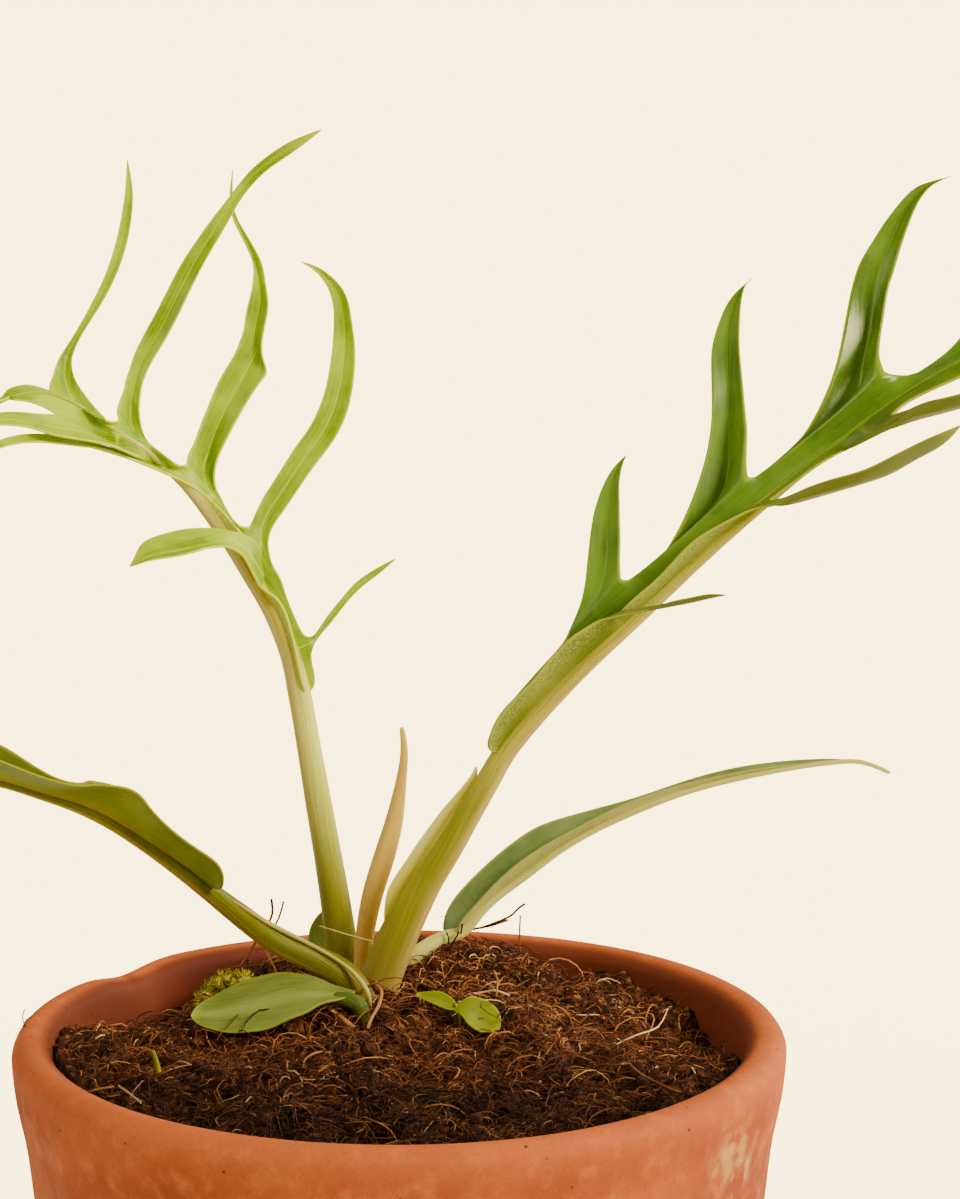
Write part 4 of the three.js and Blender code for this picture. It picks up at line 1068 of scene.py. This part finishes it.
# Partly painted highlight: the near-white upper colour and pale streaks stand in for the stalk's highlight
# over its pale lime.
left_stalk_finish = stalk_material(
    "left_stalk_skin", upper=(244, 242, 90), lower=(206, 168, 60), streak=(206, 206, 40),
    base=(126, 124, 4), pale=(255, 254, 190), base_to=0.34, base_full=0.14,
    middle=(184, 160, 36), far=(166, 178, 20), far_from=0.72)
stalk_piece("left_leaf_stalk", LEFT_STALK, left_stalk_finish, "leaf_left_divided",
            under=(-0.85, -0.1, -0.5))
left_faces = [
    leaf_material(
        "left_leaf_upper", deep=(112, 146, 2), bright=(164, 192, 3), vein=(214, 234, 6),
        margin=(226, 234, 20), tip=(200, 204, 20), gloss=0.26, shine=0.16,
        through=(0.35, (0.7, 1.0, 0.1), 0.6)),
    leaf_material(
        "left_leaf_underside", deep=(158, 168, 22), bright=(188, 198, 44), vein=(226, 222, 80),
        margin=(236, 232, 100), tip=(220, 206, 80), gloss=0.42, speckle=(236, 234, 110)),
]

LEFT_RIB = LEFT_STALK[6:]
far = half_blade(LEFT_RIB, LEFT_FAR, face=(0.25, -0.9, 0.35), fold=0.2, arch=0.1)
blade_piece("left_leaf_far_half", far, left_faces, "leaf_left_divided", 0.24)
near = half_blade(LEFT_RIB, LEFT_NEAR, face=(-0.1, -0.35, 0.93), arch=-0.1, ripple=0.3)
blade_piece("left_leaf_near_half", near, left_faces, "leaf_left_divided", 0.3)
blade_piece("right_leaf_tip", single_blade(RIGHT_TIP, (-0.5, -0.5, 0.7)), [right_upper, right_under],
            "leaf_right_divided")
blade_piece("left_leaf_tip", single_blade(LEFT_TIP, (-0.3, -0.2, 0.9)), left_faces,
            "leaf_left_divided", 0.3)

# %% [markdown]
# ## Sheath on the right stalk
# A stalk grows out of the papery sheath of the one before it. On the right stalk a pale pointed
# remnant still clasps the stalk's upper side. It is a thin blade that bulges towards us instead of
# folding inward, and much light comes through it.

# %% Sheath
SHEATH_ROWS = table("""
    -19 110 870 -9 118 864, -22 108 894 -6 118 884, -21 106 916 -1 118 904, -16 104 936 6 116 924, -2 102 959
    19 114 948, 14 100 984 34 112 974, 31 98 1009 50 110 1000, 48 96 1032 66 108 1026, 66 94 1054 80 104 1050,
    81 92 1073 89 98 1071, 87 90 1086 90 92 1085
""")
sheath_finish = leaf_material(
    "pale_sheath", deep=(255, 240, 96), bright=(255, 248, 120), vein=(226, 208, 90),
    margin=(255, 252, 200), tip=(250, 240, 190), gloss=0.42, vein_width=0.3,
    through=(0.6, (1.0, 0.8, 0.25), 1.2))
blade_piece("right_stalk_sheath", single_blade(SHEATH_ROWS, (-0.4, -1, 0.3), fold=-0.12),
            [sheath_finish], "leaf_right_divided", 0.25)

# %% [markdown]
# ## Long leaf that arches to the left
# This leaf has no lobes. Both halves stand up from the midrib like a shallow gutter. We look at the
# near half's underside, olive green with a golden band along the midrib, and see a darker strip of
# the far half's inner face over its edge. The pale rolled edge of a sheath lies along its stalk.

# %% Arching leaf
ARCH_STALK = table("""
    -46 70 768 34, -46 60 802 40, -68 56 840 39, -106 52 863 35, -149 42 887 32, -189 30 921 29, -227 10 958
    24, -271 -10 999 21, -319 -35 1040 18, -361 -60 1069 16, -402 -85 1090 14, -442 -110 1109 13, -503 -140
    1127 11, -563 -170 1126 10, -625 -190 1100 9, -684 -200 1053 8, -740 -208 996 7, -800 -210 900 5
""")
ARCH_NEAR = """
    -206 -16 961, -201 -28 977, -204 -32 992, -212 -36 1003, -234 -50 1021, -257 -66 1044, -270 -74 1060, -279
    -82 1073, -286 -88 1087, -295 -94 1096, -307 -102 1102, -318 -108 1104, -332 -116 1108, -347 -124 1107,
    -365 -134 1111, -387 -144 1120, -410 -156 1132, -432 -168 1145, -457 -180 1157, -510 -192 1166, -570 -216
    1160, -630 -226 1126, -676 -226 1084, -726 -224 1030, -770 -218 966, -796 -213 914
"""
ARCH_FAR = """
    -209 18 951, -212 36 964, -221 34 980, -245 24 1000, -269 10 1025, -288 -4 1052, -305 -16 1075, -321 -30
    1088, -335 -40 1094, -344 -48 1097, -351 -54 1100, -358 -60 1096, -380 -76 1104, -399 -88 1118, -414 -98
    1131, -428 -108 1144, -440 -116 1153, -464 -134 1169, -510 -142 1180, -570 -164 1176, -630 -180 1142, -686
    -188 1094, -736 -194 1038, -778 -200 970, -800 -207 916
"""
ARCH_SHEATH = table("""
    -200 16 944 4, -156 30 911 7, -110 40 884 6, -76 40 864 5, -54 33 848 6, -39 27 828 6, -36 30 808 5
""")
rolled_finish = stalk_material(
    "rolled_sheath", upper=(196, 182, 84), lower=(176, 150, 70), streak=(150, 140, 54),
    base=(170, 130, 80), pale=(220, 206, 130))
arch_stalk_finish = stalk_material(
    "arching_stalk_skin", upper=(104, 104, 4), lower=(210, 174, 70), streak=(84, 88, 4),
    base=(122, 100, 28), pale=(140, 136, 14))
stalk_piece("arching_leaf_stalk", ARCH_STALK, arch_stalk_finish, "leaf_left_arching",
            under=(-0.3, -0.15, -0.95))
arch_faces = [
    leaf_material(
        "arching_leaf_upper", deep=(92, 104, 26), bright=(116, 126, 34), vein=(136, 140, 40),
        margin=(150, 148, 40), tip=(116, 116, 26), gloss=0.34),
    leaf_material(
        "arching_leaf_underside", deep=(106, 134, 20), bright=(138, 158, 36), vein=(186, 148, 44),
        margin=(148, 140, 34), tip=(128, 120, 26), gloss=0.36, vein_width=0.42),
]
stalk_piece("arching_leaf_sheath", ARCH_SHEATH, rolled_finish, "leaf_left_arching", sides=8)
ARCH_RIB = ARCH_STALK[5:]
near = half_blade(ARCH_RIB, ARCH_NEAR, face=(-0.3, 0.6, 0.75), arch=-0.5)
blade_piece("arching_leaf_near_half", near, arch_faces, "leaf_left_arching")
far = half_blade(ARCH_RIB, ARCH_FAR, face=(-0.3, -0.6, 0.75), arch=0.3)
blade_piece("arching_leaf_far_half", far, arch_faces, "leaf_left_arching")

# %% [markdown]
# ## Narrow leaf that bends over to the right
# The strap leaf is folded along its midrib, which is its lower edge from here. The near half shows a
# cream-green underside. Over it stands the inner face of the far half, a dark bluish green.

# %% Strap leaf
STRAP_RIB = table("""
    -4 226 802, 8 234 812, 23 244 822, 39 254 829, 54 260 834, 73 266 839, 97 278 865, 123 288 885, 154 298
    905, 194 310 933, 243 322 959, 309 334 986, 371 344 1006, 440 352 1021, 503 360 1031, 564 370 1036, 593
    374 1032, 623 376 1019
""")
STRAP_NEAR = """
    67 256 833, 64 252 849, 83 260 868, 109 268 897, 141 278 924, 171 288 942, 206 298 959, 248 310 979, 291
    320 997, 348 332 1013, 400 342 1022, 452 350 1031, 504 358 1034, 556 366 1037
"""
STRAP_FAR = """
    51 274 828, 46 284 837, 49 290 855, 60 294 876, 84 302 900, 105 308 919, 125 314 935, 145 320 949, 166 326
    961, 193 332 969, 220 338 975, 260 346 984, 297 354 992, 359 360 1014, 421 368 1029, 483 372 1036, 525 374
    1038, 557 376 1038
"""
thinning = smooth([(2.3,), (2.1,), (1.4,), (1.1,), (0.9,), (0.7,), (0.5,)], 3)[:len(STRAP_RIB)]
STRAP_STALK = [(-1.8, 22, 76.8, 2.4)] + [(*point, size[0]) for point, size in zip(STRAP_RIB, thinning)]
strap_stalk_finish = stalk_material(
    "strap_stalk_skin", upper=(210, 202, 100), lower=(226, 214, 124), streak=(172, 166, 70),
    base=(150, 114, 60), pale=(242, 234, 146))
stalk_piece("strap_leaf_stalk", STRAP_STALK, strap_stalk_finish, "leaf_right_strap")
strap_faces = [
    leaf_material(
        "strap_leaf_upper", deep=(92, 116, 62), bright=(126, 144, 78), vein=(134, 136, 66),
        margin=(166, 168, 76), tip=(120, 120, 46), gloss=0.36),
    leaf_material(
        "strap_leaf_underside", deep=(158, 158, 72), bright=(190, 188, 92), vein=(210, 204, 104),
        margin=(210, 206, 110), tip=(128, 126, 46), gloss=0.4, speckle=(218, 214, 124)),
]
far = half_blade(STRAP_RIB, STRAP_FAR, face=(0.22, -0.9, 0.3), arch=0.2)
blade_piece("strap_leaf_far_half", far, strap_faces, "leaf_right_strap")
near = half_blade(STRAP_RIB, STRAP_NEAR, face=(-0.3, 0.9, 0.2), arch=-0.3)
blade_piece("strap_leaf_near_half", near, strap_faces, "leaf_right_strap")

# %% [markdown]
# ## Dry spike
# The tan spike between the stalks is an old leaf sheath that has dried and rolled up. It is a
# flattened cone, orange at the base and paler at the tip, with lengthwise streaks.

# %% Spike
SPIKE = table("""
    -50 146 774 20, -50 147 805 20, -49 145 850 23, -39 140 911 27, -23 140 964 28, -10 140 1011 23, -1 140
    1065 13, 2 140 1096 10, -1 140 1125 6
""")
spike_finish = stalk_material(
    "dry_spike_skin", upper=(240, 194, 84), lower=(222, 172, 82), streak=(250, 212, 106),
    base=(170, 112, 46), pale=(242, 206, 110), gloss=0.5)
stalk_piece("dry_spike", SPIKE, spike_finish, "dry_spike", flatten=0.6, under=(-1, 0, 0))

# %% [markdown]
# ## Small leaves at the crown
# A small oval leaf lies at the front, dull grey-green with a painted sheen, a broad pale band along
# its vein, a lime rim and a dark curl where its stalk begins. A second one stands behind the left
# stalk. Only its midline and widths are known, so its edges are laid out at right angles to the
# midline.

# %% Small leaves
FRONT_STALK = table("""
    -46 40 768 18, -46 19 804 22, -54 18 819 22, -80 16 825 14
""")
FRONT_ROWS = table("""
    -53 26 829 -57 16 827, -65 30 831 -73 4 825, -81 34 835 -94 -8 823, -106 38 845 -109 -18 817, -142 39 848
    -127 -24 810, -164 38 845 -153 -28 800, -189 34 839 -178 -30 796, -211 28 829 -206 -28 796, -227 16 822
    -227 -24 800, -238 2 818 -238 -16 804, -244 -8 811 -244 -8 809
""")
BACK_STALK = table("""
    -50 218 766 14, -84 228 796 13, -96 234 824 10
""")
BACK_LEAF = table("""
    -88 232 804 16, -92 235 822 50, -94 238 844 56, -90 240 864 36, -82 242 878 6
""")
BACK_FACE = (-0.2, -0.9, 0.3)
small_faces = [
    # Painted sheen: the broad pale vein band of the upper face stands in for the sheen along the leaf's
    # middle.
    leaf_material(
        "small_leaf_upper", deep=(92, 106, 34), bright=(116, 126, 50), vein=(152, 156, 76),
        margin=(146, 152, 40), tip=(160, 182, 10), gloss=0.42, vein_width=0.45),
    leaf_material(
        "small_leaf_underside", deep=(60, 74, 20), bright=(80, 94, 28), vein=(110, 116, 50),
        margin=(140, 146, 50), tip=(130, 140, 30), gloss=0.4),
]
front_curl_finish = stalk_material(
    "front_leaf_curl", upper=(74, 90, 26), lower=(112, 118, 44), streak=(60, 74, 20),
    base=(84, 70, 26), pale=(112, 120, 50), gloss=0.4)
blade_piece("small_front_leaf", single_blade(FRONT_ROWS, (-0.05, -0.62, 0.78), fold=0.05, ripple=0.3),
            small_faces, "leaf_small_front", 0.3)
stalk_piece("small_front_stalk", FRONT_STALK, front_curl_finish, "leaf_small_front")
blade_piece("small_back_leaf", single_blade(edges_of(BACK_LEAF, BACK_FACE), BACK_FACE, fold=0.1),
            small_faces, "leaf_small_back", 0.3)
stalk_piece("small_back_stalk", BACK_STALK, arch_stalk_finish, "leaf_small_back")

# %% [markdown]
# ## Seedling and shoot
# A weed seedling with two leaflets has come up right of the crown, and one pale shoot stands at the
# front left. Both are tiny rods, and the leaflets are small cupped blades.

# %% Seedling
SEEDLING_STEM = table("""
    69 24 760 9, 66 20 802 8, 64 16 818 6
""")
LEAFLET_LEFT = table("""
    65 17 812 8, 57 19 816 17, 44 23 822 20, 30 26 824 13, 18 29 825 5
""")
LEAFLET_RIGHT = table("""
    64 16 811 8, 77 12 815 29, 92 6 809 42, 105 0 799 36, 113 -5 791 10
""")
LEAFLET_FACE = (0.1, -0.6, 0.78)
SHOOT = table("""
    -264 -174 740 9, -263 -176 784 10, -265 -179 806 8, -269 -180 822 5
""")
leaflet_finish = leaf_material(
    "leaflet", deep=(104, 122, 8), bright=(134, 150, 12), vein=(132, 112, 40),
    margin=(176, 184, 24), tip=(160, 176, 10), gloss=0.42, vein_width=0.3)
stalk_piece("seedling_stem", SEEDLING_STEM, arch_stalk_finish, "seedling", sides=8)
for name, points, fold in [("seedling_leaflet_left", LEAFLET_LEFT, 0.12),
                           ("seedling_leaflet_right", LEAFLET_RIGHT, 0.16)]:
    blade_piece(name, single_blade(edges_of(points, LEAFLET_FACE), LEAFLET_FACE, fold=fold),
                [leaflet_finish], "seedling", 0.3)
stalk_piece("small_shoot", SHOOT, arch_stalk_finish, "small_shoot", sides=8)

# %% [markdown]
# ## Moss
# A little cushion of moss grows by the back wall. It is a row of rounded cushions with short
# blunt leaves all over. The cushions are noise-roughened balls, and the leaves are short green
# strands that point outward.

# %% Moss
CUSHION_COUNT, MOSS_LEAF_COUNT = 26, 520

moss_green, tree, shader = new_material("moss_green")
tufts = effect(tree, blotches, Size_mm=0.7, Low=0.4, High=0.6)
fill(tree, shader, {
    "Base Color": mix(tree, tufts, srgb(134, 120, 20), srgb(190, 180, 40)), "Roughness": 0.85})

bm = bmesh.new()
cushions = []
for number in range(CUSHION_COUNT):
    share = number / (CUSHION_COUNT - 1)
    centre = Vector((-25.6 + 6.0 * share, 20.6 + 1.3 * draw.uniform(-1, 1), 0))
    centre.z = soil_height(centre.x, centre.y) + 0.6 + 1.2 * math.sin(math.pi * share) * draw.random() + 1.6
    size = draw.uniform(0.45, 0.85)
    cushions.append((centre, size))
    ball = bmesh.ops.create_uvsphere(bm, u_segments=8, v_segments=6, radius=size)["verts"]
    for vert in ball:
        vert.co *= 1 + 0.3 * noise.noise(vert.co * 2.2 + centre)
        vert.co += centre
add_piece("moss_cushions", to_mesh("moss_cushions", bm), [moss_green], "moss")

strands = []
for number in range(MOSS_LEAF_COUNT):
    centre, size = draw.choice(cushions)
    way = Vector((draw.gauss(0, 1), draw.gauss(0, 1), abs(draw.gauss(0, 1)))).normalized()
    root, reach = centre + way * size * 0.8, draw.uniform(0.35, 0.8)
    bend = Vector((0, 0, 0.25 * reach))
    strands.append(([(*root, 0.16), (*(root + way * reach * 0.6), 0.14),
                     (*(root + way * reach + bend), 0.05)], MOSSY))
add_strands("moss_leaves", strands, "moss")

# %% [markdown]
# ## Creeping stem and pale roots
# Under the crown the stem creeps through the top of the mix. Two pale roots have looped out of it
# and back in at the front. The stem is one thick rod; each root is a thin rod with slack bends.

# %% Stem base
STEM = table("""
    -40 25 738 45, -44 80 754 60, -48 140 757 62, -36 210 752 50
""")
ROOT_FRONT = table("""
    -100 58 806, -93 45 810, -82 22 808, -71 7 804, -60 -8 800, -51 8 788
""")
ROOT_THIN = table("""
    -34 60 829, -23 34 829, -25 10 818, -33 -8 808, -38 -16 796
""")
stem_finish = stalk_material(
    "stem_rind", upper=(150, 112, 62), lower=(126, 88, 46), streak=(96, 62, 34),
    base=(92, 58, 30), pale=(176, 140, 84), gloss=0.6)
root_finish = stalk_material(
    "root_skin", upper=(170, 112, 58), lower=(130, 82, 42), streak=(150, 104, 60),
    base=(110, 74, 42), pale=(214, 170, 108), gloss=0.5)
stalk_piece("creeping_stem", STEM, stem_finish, "stem_base", sides=14)
for name, points, size in [("root_front", ROOT_FRONT, 0.7), ("root_thin", ROOT_THIN, 0.45)]:
    stalk_piece(name, [(*point, size) for point in points], root_finish, "stem_base", sides=8)

# %% [markdown]
# ## Single hairs and twigs
# Some fibres stand out one by one: a bright one by the left stalk, a long one at the right, black
# root threads by the strap's base and twigs in the heap at the back. Their points are listed, and
# they are made in the same way as the mat.

# %% Hairs and twigs
PLACED_HAIRS = [
    (0.3, TAN, "-171 80 880, -159 70 862, -147 60 840"),
    (0.14, PALE, "-99 100 889, -66 70 887, -35 60 881"),
    (0.3, TAN, "-106 -129 784, -104 -128 794, -96 -126 800, -87 -117 800, -79 -88 790"),
    (0.3, TAN, "260 -145 796, 266 -200 804, 275 -215 802, 291 -237 800, 309 -238 792"),
    (0.3, PALE, "-299 -240 800, -284 -271 802, -269 -286 796"),
    (0.3, TAN, "-340 -244 790, -323 -254 800, -305 -237 798"),
    (0.22, TAN, "110 100 834, 114 90 825, 113 80 811, 112 70 796"),
    (0.3, PALE, "81 90 807, 98 94 809, 112 90 812, 128 80 809"),
    (0.3, BROWN, "145 340 840, 144 340 814, 145 330 782"),
    (0.2, PALE, "251 -42 786, 274 -45 798, 301 -6 796, 315 35 806"),
    (0.3, DARK, "93 330 826, 115 330 834, 133 340 840, 142 344 848, 151 346 854"),
    (0.3, BROWN, "80 330 824, 106 330 829, 129 340 834"),
    (0.35, BROWN, "-169 260 882, -168 260 863, -176 250 846, -185 240 836, -195 230 820, -207 220 806"),
    (0.3, DARK, "-154 264 878, -160 260 857, -172 252 840, -188 250 830, -200 230 811, -214 210 798"),
    (0.25, BLACK, "51 246 843, 54 242 834, 51 236 820"),
    (0.25, BLACK, "67 244 844, 61 240 834, 54 236 825, 51 234 817"),
    (0.25, BLACK, "71 248 853, 69 244 841"),
    (0.2, DARK, "-429 -60 833, -431 -64 824, -427 -70 815"),
    (0.2, DARK, "-424 -40 819, -429 -50 817, -432 -60 811"),
]
strands = [([(*point, size) for point in smooth(table(points), 3)], finish)
           for size, finish, points in PLACED_HAIRS]
add_strands("placed_hairs", strands, "soil")

# %% [markdown]
# ## Pieces made
# The script prints how many pieces it made.

# %% Finish
print(len(made_pieces), "pieces")
